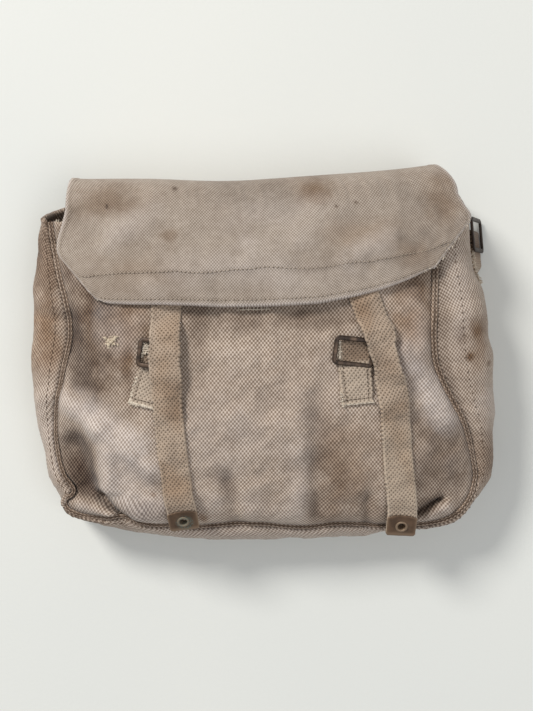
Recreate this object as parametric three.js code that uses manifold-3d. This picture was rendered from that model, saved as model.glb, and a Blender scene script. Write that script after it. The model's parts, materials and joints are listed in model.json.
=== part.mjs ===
// A small cotton-webbing haversack lying on its back: a boxed bag with a flap, two closing straps
// with metal tips, two front buckles on webbing tabs and a brace buckle at the right mouth corner.
// Units are millimetres. X runs to the right, Y towards the flap, Z up through the front.
// The origin is the middle of the back panel's resting face.
import * as THREE from 'three';
import Module from 'manifold-3d';
import { mergeVertices } from 'three/addons/utils/BufferGeometryUtils.js';

const wasm = await Module();
wasm.setup();

// Driving dimensions
const panelWidth = 296; // back panel between its side seams
const panelLength = 229; // back panel from the bottom seam to the mouth
const panelCorner = 28; // radius of its two bottom corners
const bagDepth = 75; // resting face to the highest part of the stuffed front
const clothThickness = 2;
const flapThickness = 2.4; // doubled cloth
const flapWidth = 280;
const flapDrop = 78; // mouth line down to the middle of the flap's free edge
const foldReach = 20; // how far the folded flap stands beyond the mouth line
const frontSeamRadius = 2.3;
const backSeamRadius = 1.6;
const strapWidth = 19;
const webbingThickness = 2;
const tipLength = 18;
const tipPlate = 0.8;
const tipMargin = 0.6; // how far the tip stands out past the strap's edges
const tipCorner = 1.5;
const eyeletHole = 2.7; // radius
const eyeletWall = 0.5;
const eyeletFlange = 1.2;
const eyeletLip = 0.7;
const buckleWidth = 29;
const buckleHeight = 20.5;
const buckleBar = 3.2;
const buckleThickness = 2;
const tabWidth = 21;
const tabLength = 43;
const braceBuckleWidth = 28;
const braceBuckleHeight = 26;
const braceTabWidth = 21;
const braceTabLength = 38;
const gap = 0.3; // clearance between neighbouring pieces
const floorClearance = 0.2; // under the back seam
const mouthSlant = 8; // how much lower the gusset's mouth edge meets the bow than the seams

const halfWide = panelWidth / 2;
const halfLong = panelLength / 2;

// The front seam in plan: shares of the back panel's half width and half length. The along column
// counts the left side (0 to 1), left corner, bottom, right corner and right side (4 to 5).
const frontSeamRows = [
  { along: 0.00, across: -1.058, up: 0.869 },
  { along: 0.12, across: -1.032, up: 0.690 },
  { along: 0.24, across: -0.994, up: 0.502 },
  { along: 0.36, across: -0.958, up: 0.319 },
  { along: 0.46, across: -0.949, up: 0.162 },
  { along: 0.57, across: -0.969, up: -0.004 },
  { along: 0.69, across: -0.995, up: -0.192 },
  { along: 0.79, across: -1.018, up: -0.345 },
  { along: 0.90, across: -1.022, up: -0.502 },
  { along: 1.00, across: -1.002, up: -0.651 },
  { along: 1.15, across: -0.968, up: -0.747 },
  { along: 1.30, across: -0.955, up: -0.817 },
  { along: 1.42, across: -0.957, up: -0.866 },
  { along: 1.55, across: -0.959, up: -0.914 },
  { along: 1.68, across: -0.942, up: -0.957 },
  { along: 1.84, across: -0.900, up: -0.993 },
  { along: 2.00, across: -0.814, up: -1.007 },
  { along: 2.10, across: -0.662, up: -1.016 },
  { along: 2.21, across: -0.486, up: -1.042 },
  { along: 2.32, across: -0.324, up: -1.058 },
  { along: 2.50, across: -0.034, up: -1.036 },
  { along: 2.64, across: 0.189, up: -1.060 },
  { along: 2.74, across: 0.338, up: -1.038 },
  { along: 2.89, across: 0.581, up: -1.052 },
  { along: 3.00, across: 0.757, up: -1.038 },
  { along: 3.20, across: 0.858, up: -1.017 },
  { along: 3.40, across: 0.936, up: -0.961 },
  { along: 3.60, across: 0.986, up: -0.873 },
  { along: 3.80, across: 1.009, up: -0.764 },
  { along: 4.00, across: 1.004, up: -0.659 },
  { along: 4.09, across: 0.978, up: -0.520 },
  { along: 4.19, across: 0.936, up: -0.376 },
  { along: 4.27, across: 0.882, up: -0.249 },
  { along: 4.35, across: 0.831, up: -0.127 },
  { along: 4.43, across: 0.797, up: -0.013 },
  { along: 4.52, across: 0.786, up: 0.127 },
  { along: 4.67, across: 0.794, up: 0.362 },
  { along: 4.79, across: 0.797, up: 0.546 },
  { along: 5.00, across: 0.831, up: 0.869 },
];

// How far the gusset bows beyond the back seam, and at what height: shares of the bag's depth.
const gussetRows = [
  { along: 0.00, reach: 0.23, height: 0.36 },
  { along: 0.20, reach: 0.28, height: 0.37 },
  { along: 0.46, reach: 0.31, height: 0.37 },
  { along: 0.68, reach: 0.30, height: 0.36 },
  { along: 0.81, reach: 0.26, height: 0.35 },
  { along: 0.93, reach: 0.18, height: 0.32 },
  { along: 1.12, reach: 0.12, height: 0.28 },
  { along: 1.50, reach: 0.13, height: 0.25 },
  { along: 2.00, reach: 0.12, height: 0.24 },
  { along: 2.10, reach: 0.18, height: 0.24 },
  { along: 2.63, reach: 0.24, height: 0.24 },
  { along: 2.82, reach: 0.205, height: 0.24 },
  { along: 2.97, reach: 0.14, height: 0.25 },
  { along: 3.30, reach: 0.11, height: 0.27 },
  { along: 3.63, reach: 0.12, height: 0.29 },
  { along: 3.87, reach: 0.17, height: 0.31 },
  { along: 4.05, reach: 0.23, height: 0.33 },
  { along: 4.24, reach: 0.24, height: 0.36 },
  { along: 4.40, reach: 0.225, height: 0.37 },
  { along: 4.57, reach: 0.165, height: 0.37 },
  { along: 4.68, reach: 0.125, height: 0.37 },
  { along: 4.75, reach: 0.075, height: 0.37 },
  { along: 4.81, reach: 0.052, height: 0.37 },
  { along: 4.90, reach: 0.045, height: 0.37 },
  { along: 5.00, reach: 0.045, height: 0.37 },
];

// Hollows and ridges of the front, each along a line: places are shares of the half width and half
// length, the width is a share of the half width and the height a share of the depth.
const frontFolds = [
  { across: -0.96, up: -0.63, toAcross: -0.87, toUp: -0.86, width: 0.09, height: -0.08 },
  { across: -0.87, up: -0.88, toAcross: -0.70, toUp: -0.98, width: 0.035, height: -0.06 },
  { across: 0.74, up: -1.03, toAcross: 0.88, toUp: -0.94, width: 0.035, height: -0.04 },
  { across: -0.98, up: -0.25, toAcross: -0.54, toUp: -0.67, width: 0.06, height: 0.035 },
  { across: 0.23, up: -0.25, toAcross: 0.23, toUp: -0.94, width: 0.04, height: -0.025 },
  { across: -0.89, up: 0.31, toAcross: -0.90, toUp: -0.03, width: 0.06, height: -0.04 },
];

// The stuffed front as a height over the plane: edgeHeight at its reach, bagDepth in the middle.
const edgeHeight = 0.4 * bagDepth;
const reachAcross = 1.095 * halfWide;
const reachUp = 1.33 * halfLong;
const reachDown = 1.09 * halfLong;
const crownSquareness = 3.2;
const crownRoundness = 0.7;

// The flap is stiffer than the front, so its crown falls off later, above all on the right.
const flapReachLeft = 1.12 * halfWide;
const flapReachRight = 1.21 * halfWide;

// The flap's two side edges, row by row from the back seam over the fold to the free edge: across
// in shares of its half width, down in shares of flapDrop or, past the mouth line, of foldReach.
// Bend lowers the middle of a row, in shares of flapDrop.
const flapRows = {
  back: { left: -1.000, leftDown: -0.02, right: 1.000, rightDown: -0.02, bend: 0 },
  fold: { left: -0.995, leftDown: -0.72, right: 0.860, rightDown: -1.20, bend: 0.06 },
  shoulder: { left: -1.010, leftDown: 0.12, right: 0.955, rightDown: -0.10, bend: 0.10 },
  corner: { left: -1.051, leftDown: 0.481, right: 1.019, rightDown: 0.192, bend: 0.128 },
  edge: { left: -0.836, leftDown: 0.942, right: 0.836, rightDown: 0.653, bend: 0.215 },
};
const bendLean = 1.35; // above 1 moves a row's lowest place to the right
const foldHeight = 0.56 * bagDepth;
const foldFullness = 0.6; // how square the fold is

// Middle lines of the two closing straps down the front, and how far they stand clear of it.
// Places are shares of the half width and half length, clear a share of the depth.
const leftStrapRows = [
  { along: 0.00, across: -0.470, up: 0.560, clear: 0 },
  { along: 0.14, across: -0.466, up: 0.322, clear: 0 },
  { along: 0.28, across: -0.466, up: 0.114, clear: 0 },
  { along: 0.44, across: -0.459, up: -0.124, clear: 0 },
  { along: 0.60, across: -0.449, up: -0.363, clear: 0 },
  { along: 0.76, across: -0.434, up: -0.604, clear: 0 },
  { along: 0.87, across: -0.422, up: -0.728, clear: 0.004 },
  { along: 1.00, across: -0.411, up: -0.885, clear: 0.045 },
];
const rightStrapRows = [
  { along: 0.00, across: 0.392, up: 0.576, clear: 0 },
  { along: 0.14, across: 0.453, up: 0.377, clear: 0 },
  { along: 0.28, across: 0.522, up: 0.114, clear: 0 },
  { along: 0.44, across: 0.570, up: -0.125, clear: 0 },
  { along: 0.60, across: 0.598, up: -0.364, clear: 0 },
  { along: 0.76, across: 0.615, up: -0.608, clear: 0 },
  { along: 0.87, across: 0.626, up: -0.740, clear: 0.008 },
  { along: 1.00, across: 0.640, up: -0.915, clear: 0.060 },
];
// Rise over run of the hanging ends, and how far they turn from their straps in degrees.
const leftTip = { slope: -0.62, turn: -3 };
const rightTip = { slope: -0.48, turn: -6 };

// Front buckles on their tabs: turned about the front's normal, in degrees.
const leftBuckle = { across: -0.495, up: 0.026, turn: -8, tabTurn: -14 };
const rightBuckle = { across: 0.400, up: 0.052, turn: -7, tabTurn: 5 };
const tabInWindow = 0.15; // share of the tab above the buckle's middle
const buckleMargin = 2.5; // where a strap starts to come down beyond a buckle's edge
const buckleCorner = 2.2; // radii of the frame's outer and inner corners
const windowCorner = 0.8;

// Brace buckle and tab at the right mouth corner. The buckle stands on its outer bar and leans
// back on the gusset. The tab runs from there down to the gusset's side.
const bracePlace = 0.79; // middle of the brace buckle, in shares of the half length
const braceStandoff = 12.8; // how far its middle stands beyond the back panel's side
const braceLean = 27; // degrees from upright
const braceTurn = 5; // degrees that its upper end is turned inwards
const braceTabBelow = 0.93; // share of the tab below the buckle's middle
const braceTabHug = 0.36; // share of the tab that turns from the gusset's side to the buckle

const canvasColour = 0xa99b86;
const frontColour = 0xa4957f;
const gussetColour = 0x97866f;
const strapColour = 0xb2a384;
const brassColour = 0x5f4e3e;

// Hermite reading of a table's column between its rows, with slopes taken from the neighbours.
function readColumn(rows, column, along) {
  const last = rows.length - 1;
  let i = 0;
  while (i < last - 1 && rows[i + 1].along < along) {
    i += 1;
  }
  const slopeAt = (k) => {
    const before = rows[Math.max(k - 1, 0)];
    const after = rows[Math.min(k + 1, last)];
    return (after[column] - before[column]) / (after.along - before.along);
  };
  const a = rows[i];
  const b = rows[i + 1];
  const span = b.along - a.along;
  const t = Math.min(Math.max((along - a.along) / span, 0), 1);
  const t2 = t * t;
  const t3 = t2 * t;
  const ends = (2 * t3 - 3 * t2 + 1) * a[column] + (3 * t2 - 2 * t3) * b[column];
  return ends + span * ((t3 - 2 * t2 + t) * slopeAt(i) + (t3 - t2) * slopeAt(i + 1));
}

function crown(share) {
  const inside = 1 - Math.pow(Math.min(Math.abs(share), 1), crownSquareness);
  return Math.pow(inside, crownRoundness);
}

function crownHeight(x, y, reachLeft, reachRight) {
  const shareAcross = x / (x < 0 ? reachLeft : reachRight);
  const shareUp = y / (y < 0 ? reachDown : reachUp);
  return edgeHeight + (bagDepth - edgeHeight) * crown(shareAcross) * crown(shareUp);
}

function foldsAt(x, y) {
  let sum = 0;
  for (const fold of frontFolds) {
    const start = new THREE.Vector2(fold.across * halfWide, fold.up * halfLong);
    const end = new THREE.Vector2(fold.toAcross * halfWide, fold.toUp * halfLong);
    const line = end.sub(start);
    const point = new THREE.Vector2(x, y).sub(start);
    const t = Math.min(Math.max(point.dot(line) / line.lengthSq(), 0), 1);
    const away = point.sub(line.multiplyScalar(t)).length() / (fold.width * halfWide);
    sum += fold.height * bagDepth * Math.exp(-away * away);
  }
  return sum;
}

// Middle of the front cloth at a place in plan.
function frontHeight(x, y) {
  return crownHeight(x, y, reachAcross, reachAcross) + foldsAt(x, y);
}

function frontNormal(x, y) {
  const step = 4;
  const dx = frontHeight(x + step, y) - frontHeight(x - step, y);
  const dy = frontHeight(x, y + step) - frontHeight(x, y - step);
  return new THREE.Vector3(-dx, -dy, 2 * step).normalize();
}

function seamPoint(along) {
  const x = readColumn(frontSeamRows, 'across', along) * halfWide;
  const y = readColumn(frontSeamRows, 'up', along) * halfLong;
  return new THREE.Vector3(x, y, frontHeight(x, y));
}

// Unit direction in plan that points into the bag's outline from the front seam.
function seamInward(along) {
  const step = 0.02;
  const before = seamPoint(Math.max(along - step, 0));
  const after = seamPoint(Math.min(along + step, 5));
  const run = after.sub(before);
  return new THREE.Vector3(-run.y, run.x, 0).normalize();
}

// The back seam is a plain rounded rectangle: a place on it and the outward direction there.
function backPath(along) {
  const x = halfWide - panelCorner;
  const y = halfLong - panelCorner;
  const side = Math.sign(along - 2.5) || 1;
  if (along >= 2 && along <= 3) {
    const place = new THREE.Vector3((along - 2.5) * 2 * x, -halfLong, 0);
    return { place, out: new THREE.Vector3(0, -1, 0) };
  }
  const fromBottom = Math.abs(along - 2.5) - 0.5;
  if (fromBottom < 1) {
    const angle = (fromBottom * Math.PI) / 2;
    const out = new THREE.Vector3(side * Math.sin(angle), -Math.cos(angle), 0);
    const place = new THREE.Vector3(side * x, -y, 0).addScaledVector(out, panelCorner);
    return { place, out };
  }
  const up = -y + (fromBottom - 1) * (halfLong + y);
  return { place: new THREE.Vector3(side * halfWide, up, 0), out: new THREE.Vector3(side, 0, 0) };
}

const backSeamHeight = backSeamRadius + floorClearance;
const mouthSlantEnd = 0.3; // station along a side seam where the slant is gone
const gussetClearance = 3 * gap; // its edges come in steeply, so they keep a little more room

// Gusset cross-section at a station: v runs from the front seam over the bow to the back seam.
function gussetPoint(along, v) {
  const inward = seamInward(along);
  const front = seamPoint(along).addScaledVector(inward, -(frontSeamRadius + gussetClearance));
  const { place, out } = backPath(along);
  const back = place.clone().addScaledVector(out, backSeamRadius + gussetClearance);
  back.z = backSeamHeight;
  const bow = place.clone().addScaledVector(out, readColumn(gussetRows, 'reach', along) * bagDepth);
  const fromMouth = Math.min(along, 5 - along) / mouthSlantEnd;
  bow.y -= mouthSlant * Math.max(1 - fromMouth, 0);
  bow.z = readColumn(gussetRows, 'height', along) * bagDepth;
  const bowShare = 0.55;
  if (v <= bowShare) {
    const angle = ((v / bowShare) * Math.PI) / 2;
    const point = front.clone().lerp(bow, Math.sin(angle));
    point.z = bow.z + (front.z - bow.z) * Math.cos(angle);
    return point;
  }
  const angle = (((v - bowShare) / (1 - bowShare)) * Math.PI) / 2;
  const point = back.clone().lerp(bow, Math.cos(angle));
  point.z = bow.z + (back.z - bow.z) * Math.sin(angle);
  return point;
}

function numberedSteps(spans) {
  const list = [spans[0].from];
  for (const span of spans) {
    for (let k = 1; k <= span.steps; k += 1) {
      list.push(span.from + ((span.to - span.from) * k) / span.steps);
    }
  }
  return list;
}

// Stations shared by the front panel's edge, the front seam and the gusset. The two ends of the
// bottom lie in the middle of the corners, where the panel's grid has its own corners.
const leftStations = numberedSteps([
  { from: 0, to: 1, steps: 14 },
  { from: 1, to: 1.5, steps: 8 },
]);
const bottomStations = numberedSteps([
  { from: 1.5, to: 2, steps: 7 },
  { from: 2, to: 3, steps: 13 },
  { from: 3, to: 3.5, steps: 6 },
]);
const rightStations = leftStations.map((along) => 5 - along);
const seamStations = [
  ...leftStations,
  ...bottomStations.slice(1),
  ...rightStations.slice(0, -1).reverse(),
];

// Turns a grid of points on the middle of a cloth into a closed wall of the given thickness.
function clothWall(grid, thickness) {
  const rows = grid.length;
  const columns = grid[0].length;
  const normals = grid.map((row, i) => row.map((point, j) => {
    const alongRow = grid[i][Math.min(j + 1, columns - 1)].clone().sub(grid[i][Math.max(j - 1, 0)]);
    const alongColumn = grid[Math.min(i + 1, rows - 1)][j].clone().sub(grid[Math.max(i - 1, 0)][j]);
    return alongRow.cross(alongColumn).normalize();
  }));
  const positions = [];
  for (const side of [0.5, -0.5]) {
    for (let i = 0; i < rows; i += 1) {
      for (let j = 0; j < columns; j += 1) {
        const point = grid[i][j].clone().addScaledVector(normals[i][j], side * thickness);
        positions.push(point.x, point.y, point.z);
      }
    }
  }
  const top = (i, j) => i * columns + j;
  const under = (i, j) => rows * columns + i * columns + j;
  const quads = [];
  for (let i = 0; i < rows - 1; i += 1) {
    for (let j = 0; j < columns - 1; j += 1) {
      quads.push([top(i, j), top(i, j + 1), top(i + 1, j + 1), top(i + 1, j)]);
      quads.push([under(i, j), under(i + 1, j), under(i + 1, j + 1), under(i, j + 1)]);
    }
  }
  for (let i = 0; i < rows - 1; i += 1) {
    const j = columns - 1;
    quads.push([top(i, 0), top(i + 1, 0), under(i + 1, 0), under(i, 0)]);
    quads.push([top(i + 1, j), top(i, j), under(i, j), under(i + 1, j)]);
  }
  for (let j = 0; j < columns - 1; j += 1) {
    const i = rows - 1;
    quads.push([top(0, j + 1), top(0, j), under(0, j), under(0, j + 1)]);
    quads.push([top(i, j), top(i, j + 1), under(i, j + 1), under(i, j)]);
  }
  return closedBody(positions, quads.flatMap(([a, b, c, d]) => [a, b, c, a, c, d]));
}

// A geometry from points and triangles, turned over where its faces point inwards.
function closedBody(positions, indices) {
  const geometry = new THREE.BufferGeometry();
  geometry.setAttribute('position', new THREE.Float32BufferAttribute(positions, 3));
  const corner = (k) => new THREE.Vector3().fromArray(positions, 3 * indices[k]);
  let volume = 0;
  for (let k = 0; k < indices.length; k += 3) {
    volume += corner(k).dot(corner(k + 1).cross(corner(k + 2)));
  }
  geometry.setIndex(volume > 0 ? indices : indices.toReversed());
  return geometry;
}

// A round cord of cloth along a list of places, with flat ends.
function roundSeam(places, radius, sides) {
  const positions = [];
  places.forEach((place, i) => {
    const before = places[Math.max(i - 1, 0)];
    const after = places[Math.min(i + 1, places.length - 1)];
    const run = after.clone().sub(before).normalize();
    const across = new THREE.Vector3(-run.y, run.x, 0).normalize();
    const up = run.clone().cross(across);
    for (let k = 0; k < sides; k += 1) {
      const angle = (k / sides) * 2 * Math.PI;
      const point = place.clone().addScaledVector(across, radius * Math.cos(angle));
      point.addScaledVector(up, radius * Math.sin(angle));
      positions.push(point.x, point.y, point.z);
    }
  });
  const indices = [];
  for (let i = 0; i < places.length - 1; i += 1) {
    for (let k = 0; k < sides; k += 1) {
      const a = i * sides + k;
      const b = i * sides + ((k + 1) % sides);
      indices.push(a, b, b + sides, a, b + sides, a + sides);
    }
  }
  const end = (places.length - 1) * sides;
  for (let k = 1; k < sides - 1; k += 1) {
    indices.push(0, k + 1, k);
    indices.push(end, end + k, end + k + 1);
  }
  return closedBody(positions, indices);
}

function toSolid(geometry) {
  const bare = geometry.clone();
  bare.deleteAttribute('normal');
  bare.deleteAttribute('uv');
  const merged = mergeVertices(bare, 1e-4);
  return new wasm.Manifold(new wasm.Mesh({
    numProp: 3,
    vertProperties: new Float32Array(merged.attributes.position.array),
    triVerts: new Uint32Array(merged.index.array),
  }));
}

function toGeometry(solid) {
  const mesh = solid.getMesh();
  const geometry = new THREE.BufferGeometry();
  geometry.setAttribute('position', new THREE.BufferAttribute(mesh.vertProperties, 3));
  geometry.setIndex(new THREE.BufferAttribute(mesh.triVerts, 1));
  return geometry;
}

// A round cutter on the Z axis of a local frame.
function cutter(radius, height, sides) {
  return toSolid(new THREE.CylinderGeometry(radius, radius, height, sides).rotateX(Math.PI / 2));
}

const haversack = new THREE.Group();

function addPiece(name, geometry, colour, roughness = 0.95, metalness = 0) {
  const material = new THREE.MeshStandardMaterial({ color: colour, roughness, metalness });
  const mesh = new THREE.Mesh(geometry, material);
  mesh.name = name;
  haversack.add(mesh);
  return mesh;
}

// Front panel: a patch stretched between its three sewn edges and the mouth.
function makeFrontPanel() {
  const clear = frontSeamRadius + gap;
  const edge = (along) => {
    const point = seamPoint(along);
    return point.addScaledVector(seamInward(along), clear);
  };
  const left = leftStations.map(edge);
  const right = rightStations.map(edge);
  const bottom = bottomStations.map(edge);
  const rows = left.length - 1;
  const columns = bottom.length - 1;
  const grid = left.map((leftPoint, i) => bottom.map((bottomPoint, j) => {
    const v = i / rows;
    const u = j / columns;
    const mouth = left[0].clone().lerp(right[0], u);
    const sides = leftPoint.clone().lerp(right[i], u);
    const ends = mouth.clone().lerp(bottomPoint, v);
    const corners = mouth.clone().lerp(bottom[0].clone().lerp(bottom[columns], u), v);
    const point = sides.add(ends).sub(corners);
    point.z = frontHeight(point.x, point.y);
    return point;
  }));
  addPiece('front_panel', clothWall(grid, clothThickness), frontColour);
}

function makeGusset() {
  const steps = 8;
  const grid = seamStations.map((along) => {
    return Array.from({ length: steps + 1 }, (_, k) => gussetPoint(along, k / steps));
  });
  addPiece('gusset', clothWall(grid, clothThickness), gussetColour);
}

function makeBackPanel() {
  const stations = numberedSteps([
    { from: 0, to: 1, steps: 4 },
    { from: 1, to: 2, steps: 6 },
    { from: 2, to: 3, steps: 6 },
    { from: 3, to: 4, steps: 6 },
    { from: 4, to: 5, steps: 4 },
  ]);
  const inset = backSeamRadius + gap;
  const outline = stations.map((along) => {
    const { place, out } = backPath(along);
    const point = place.addScaledVector(out, -inset);
    return new THREE.Vector2(point.x, point.y);
  });
  const cut = new THREE.Shape(outline);
  const cloth = new THREE.ExtrudeGeometry(cut, { depth: clothThickness, bevelEnabled: false });
  addPiece('back_panel', cloth, gussetColour);
  const path = stations.map((along) => backPath(along).place.setZ(backSeamHeight));
  addPiece('back_seam', roundSeam(path, backSeamRadius, 6), gussetColour);
}

// A place on the flap: s runs from its left to its right edge, part and t along its length.
const flapParts = ['back', 'fold', 'shoulder', 'corner', 'edge'];

function flapRowPoint(name, s) {
  const row = flapRows[name];
  const fromMouth = (down) => -down * (down < 0 ? foldReach : flapDrop);
  const x = (row.left + (row.right - row.left) * s) * (flapWidth / 2);
  const straight = fromMouth(row.leftDown) * (1 - s) + fromMouth(row.rightDown) * s;
  const bend = row.bend * flapDrop * Math.sin(Math.PI * Math.pow(s, bendLean));
  return new THREE.Vector3(x, halfLong + straight - bend, 0);
}

// Height of the flap's middle where it lies over the front, with the straps under it.
const flapLift = clothThickness / 2 + webbingThickness + flapThickness / 2 + 3 * gap;

function flapHeight(x, y) {
  return crownHeight(x, y, flapReachLeft, flapReachRight) + flapLift;
}

function flapOverFront(part, s, t) {
  const point = flapRowPoint(flapParts[part], s).lerp(flapRowPoint(flapParts[part + 1], s), t);
  return point.setZ(flapHeight(point.x, point.y));
}

function flapPoint(part, s, t) {
  if (part >= 2) {
    return flapOverFront(part, s, t);
  }
  const fold = flapRowPoint('fold', s).setZ(foldHeight);
  if (part === 0) {
    const back = flapRowPoint('back', s).setZ(flapThickness / 2);
    const run = foldFullness * (fold.y - back.y);
    const rise = foldFullness * (fold.z - back.z);
    return new THREE.CubicBezierCurve3(
      back,
      back.clone().add(new THREE.Vector3(0, run, 0)),
      fold.clone().add(new THREE.Vector3(0, 0, -rise)),
      fold,
    ).getPoint(t);
  }
  const shoulder = flapOverFront(2, s, 0);
  const next = flapOverFront(2, s, 0.1);
  const slope = (next.z - shoulder.z) / (next.y - shoulder.y);
  const run = foldFullness * (fold.y - shoulder.y);
  const rise = foldFullness * (shoulder.z - fold.z);
  return new THREE.CubicBezierCurve3(
    fold,
    fold.clone().add(new THREE.Vector3(0, 0, rise)),
    shoulder.clone().add(new THREE.Vector3(0, run, slope * run)),
    shoulder,
  ).getPoint(t);
}

function makeFlap() {
  const columns = 22;
  const steps = [5, 5, 5, 5];
  const grid = [];
  steps.forEach((count, part) => {
    for (let k = part === 0 ? 0 : 1; k <= count; k += 1) {
      const row = Array.from({ length: columns + 1 }, (_, j) => flapPoint(part, j / columns, k / count));
      grid.push(row);
    }
  });
  addPiece('flap', clothWall(grid, flapThickness), canvasColour);
}

function makeFrontSeam() {
  const places = seamStations.map((along) => seamPoint(along));
  addPiece('front_seam', roundSeam(places, frontSeamRadius, 8), gussetColour);
}

// How high the middle of a strap lies over the front at a distance from a buckle's middle: on the
// cloth, on the tab or over the buckle, with a ramp between.
const restLift = clothThickness / 2 + gap + webbingThickness / 2;
const tabRise = webbingThickness + gap;
const buckleRise = buckleThickness + 5 * gap;
const rampLength = 12;

function ramp(value) {
  const t = Math.min(Math.max(value, 0), 1);
  return t * t * (3 - 2 * t);
}

function strapLift(y, buckle) {
  const fromMiddle = y - buckle.up * halfLong;
  const upper = buckleHeight / 2 + buckleMargin;
  const lowerTab = (1 - tabInWindow) * tabLength + webbingThickness;
  const overTab = ramp((upper + rampLength - fromMiddle) / rampLength)
    * ramp((fromMiddle + lowerTab + rampLength) / rampLength);
  const overBuckle = ramp((upper + rampLength - fromMiddle) / rampLength)
    * ramp((fromMiddle + upper + rampLength) / rampLength);
  return restLift + tabRise * overTab + buckleRise * overBuckle;
}

// A place on the strap's middle surface, offset mm to the side of its middle line. It lies on the
// front's curve there.
function strapPoint(rows, buckle, along, offset) {
  const middleAt = (value) => new THREE.Vector2(
    readColumn(rows, 'across', value) * halfWide,
    readColumn(rows, 'up', value) * halfLong,
  );
  const run = middleAt(Math.min(along + 0.01, 1)).sub(middleAt(Math.max(along - 0.01, 0))).normalize();
  const { x, y } = middleAt(along).add(new THREE.Vector2(-run.y, run.x).multiplyScalar(offset));
  const lift = strapLift(y, buckle) + readColumn(rows, 'clear', along) * bagDepth;
  return new THREE.Vector3(x, y, frontHeight(x, y)).addScaledVector(frontNormal(x, y), lift);
}

// A frame at the start of a strap's hanging end: X across, Y back along the strap, Z outwards.
function tipFrame(rows, buckle, { slope, turn }) {
  const start = strapPoint(rows, buckle, 1, 0);
  const run = start.clone().sub(strapPoint(rows, buckle, 0.97, 0)).setZ(0).normalize();
  run.applyAxisAngle(new THREE.Vector3(0, 0, 1), THREE.MathUtils.degToRad(turn));
  const down = run.clone().setZ(slope).normalize();
  const back = down.clone().negate();
  const across = new THREE.Vector3(-run.y, run.x, 0);
  const out = across.clone().cross(back);
  return { start, down, matrix: new THREE.Matrix4().makeBasis(across, back, out).setPosition(start) };
}

const eyeletPlace = 0.52 * tipLength; // from the start of the hanging end
const eyeletOuter = eyeletHole + eyeletWall;

function makeStrap(side, rows, buckle, hanging) {
  const { start, down, matrix } = tipFrame(rows, buckle, hanging);
  const steps = 24;
  const offsets = [0.5, 0.25, 0, -0.25, -0.5].map((share) => share * strapWidth);
  const across = new THREE.Vector3().setFromMatrixColumn(matrix, 0);
  const flatEnd = (run) => offsets.map((offset) => {
    return start.clone().addScaledVector(across, offset).addScaledVector(down, run);
  });
  // The last stretch before the tip turns from the front's curve to the flat of the tip.
  const flatteningFrom = 0.8;
  const grid = Array.from({ length: steps }, (_, k) => {
    const along = k / steps;
    const flat = flatEnd(0);
    return offsets.map((offset, j) => {
      const curved = strapPoint(rows, buckle, along, offset);
      const middle = strapPoint(rows, buckle, along, 0);
      const level = flat[j].sub(start).add(middle);
      return curved.lerp(level, ramp((along - flatteningFrom) / (1 - flatteningFrom)));
    });
  });
  const lastRun = tipLength - tipPlate - gap;
  grid.push(flatEnd(0), flatEnd(lastRun / 2), flatEnd(lastRun));
  const hole = cutter(eyeletOuter + gap, 4 * webbingThickness, 16).translate(0, -eyeletPlace, 0);
  const inStrap = hole.transform(matrix.elements);
  const strap = toSolid(clothWall(grid, webbingThickness)).subtract(inStrap);
  addPiece(`${side}_closing_strap`, toGeometry(strap), strapColour);
  makeTip(side, hole, matrix);
  makeEyelet(side, matrix);
}

// Folded sheet round the strap's end: five-sided, with a low point towards the strap.
function makeTip(side, hole, matrix) {
  const half = strapWidth / 2 + tipMargin;
  const pocket = webbingThickness + 2 * gap;
  const corner = tipCorner;
  const shoulder = 0.12 * tipLength;
  const outline = new THREE.Shape();
  outline.moveTo(-half, -shoulder);
  outline.lineTo(0, 0);
  outline.lineTo(half, -shoulder);
  outline.lineTo(half, -tipLength + corner);
  outline.quadraticCurveTo(half, -tipLength, half - corner, -tipLength);
  outline.lineTo(-half + corner, -tipLength);
  outline.quadraticCurveTo(-half, -tipLength, -half, -tipLength + corner);
  const settings = { depth: pocket + 2 * tipPlate, bevelEnabled: false, curveSegments: 2 };
  const block = new THREE.ExtrudeGeometry(outline, settings);
  block.translate(0, 0, -(pocket + 2 * tipPlate) / 2);
  const slot = new THREE.BoxGeometry(4 * half, tipLength, pocket);
  slot.translate(0, tipPlate - tipLength / 2, 0);
  const tip = toSolid(block).subtract(toSolid(slot)).subtract(hole);
  const geometry = toGeometry(tip.transform(matrix.elements));
  addPiece(`${side}_strap_tip`, geometry, brassColour, 0.5, 0.8);
}

// Rolled ring through the tip: a short tube with a flange on both faces.
function makeEyelet(side, matrix) {
  const face = webbingThickness / 2 + 2 * gap + tipPlate;
  const flange = eyeletOuter + eyeletFlange;
  const lip = eyeletLip;
  const profile = [
    [eyeletHole, -face - lip], [flange, -face - lip], [flange, -face], [eyeletOuter, -face],
    [eyeletOuter, face], [flange, face], [flange, face + lip], [eyeletHole, face + lip],
    [eyeletHole, -face - lip],
  ];
  const ring = new THREE.LatheGeometry(profile.map(([x, y]) => new THREE.Vector2(x, y)), 16);
  ring.rotateX(Math.PI / 2).translate(0, -eyeletPlace, 0).applyMatrix4(matrix);
  addPiece(`${side}_tip_eyelet`, toGeometry(toSolid(ring)), brassColour, 0.5, 0.8);
}

function roundedRectangle(path, width, height, radius) {
  const x = width / 2;
  const y = height / 2;
  path.moveTo(-x + radius, -y);
  path.lineTo(x - radius, -y);
  path.quadraticCurveTo(x, -y, x, -y + radius);
  path.lineTo(x, y - radius);
  path.quadraticCurveTo(x, y, x - radius, y);
  path.lineTo(-x + radius, y);
  path.quadraticCurveTo(-x, y, -x, y - radius);
  path.lineTo(-x, -y + radius);
  path.quadraticCurveTo(-x, -y, -x + radius, -y);
  return path;
}

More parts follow.
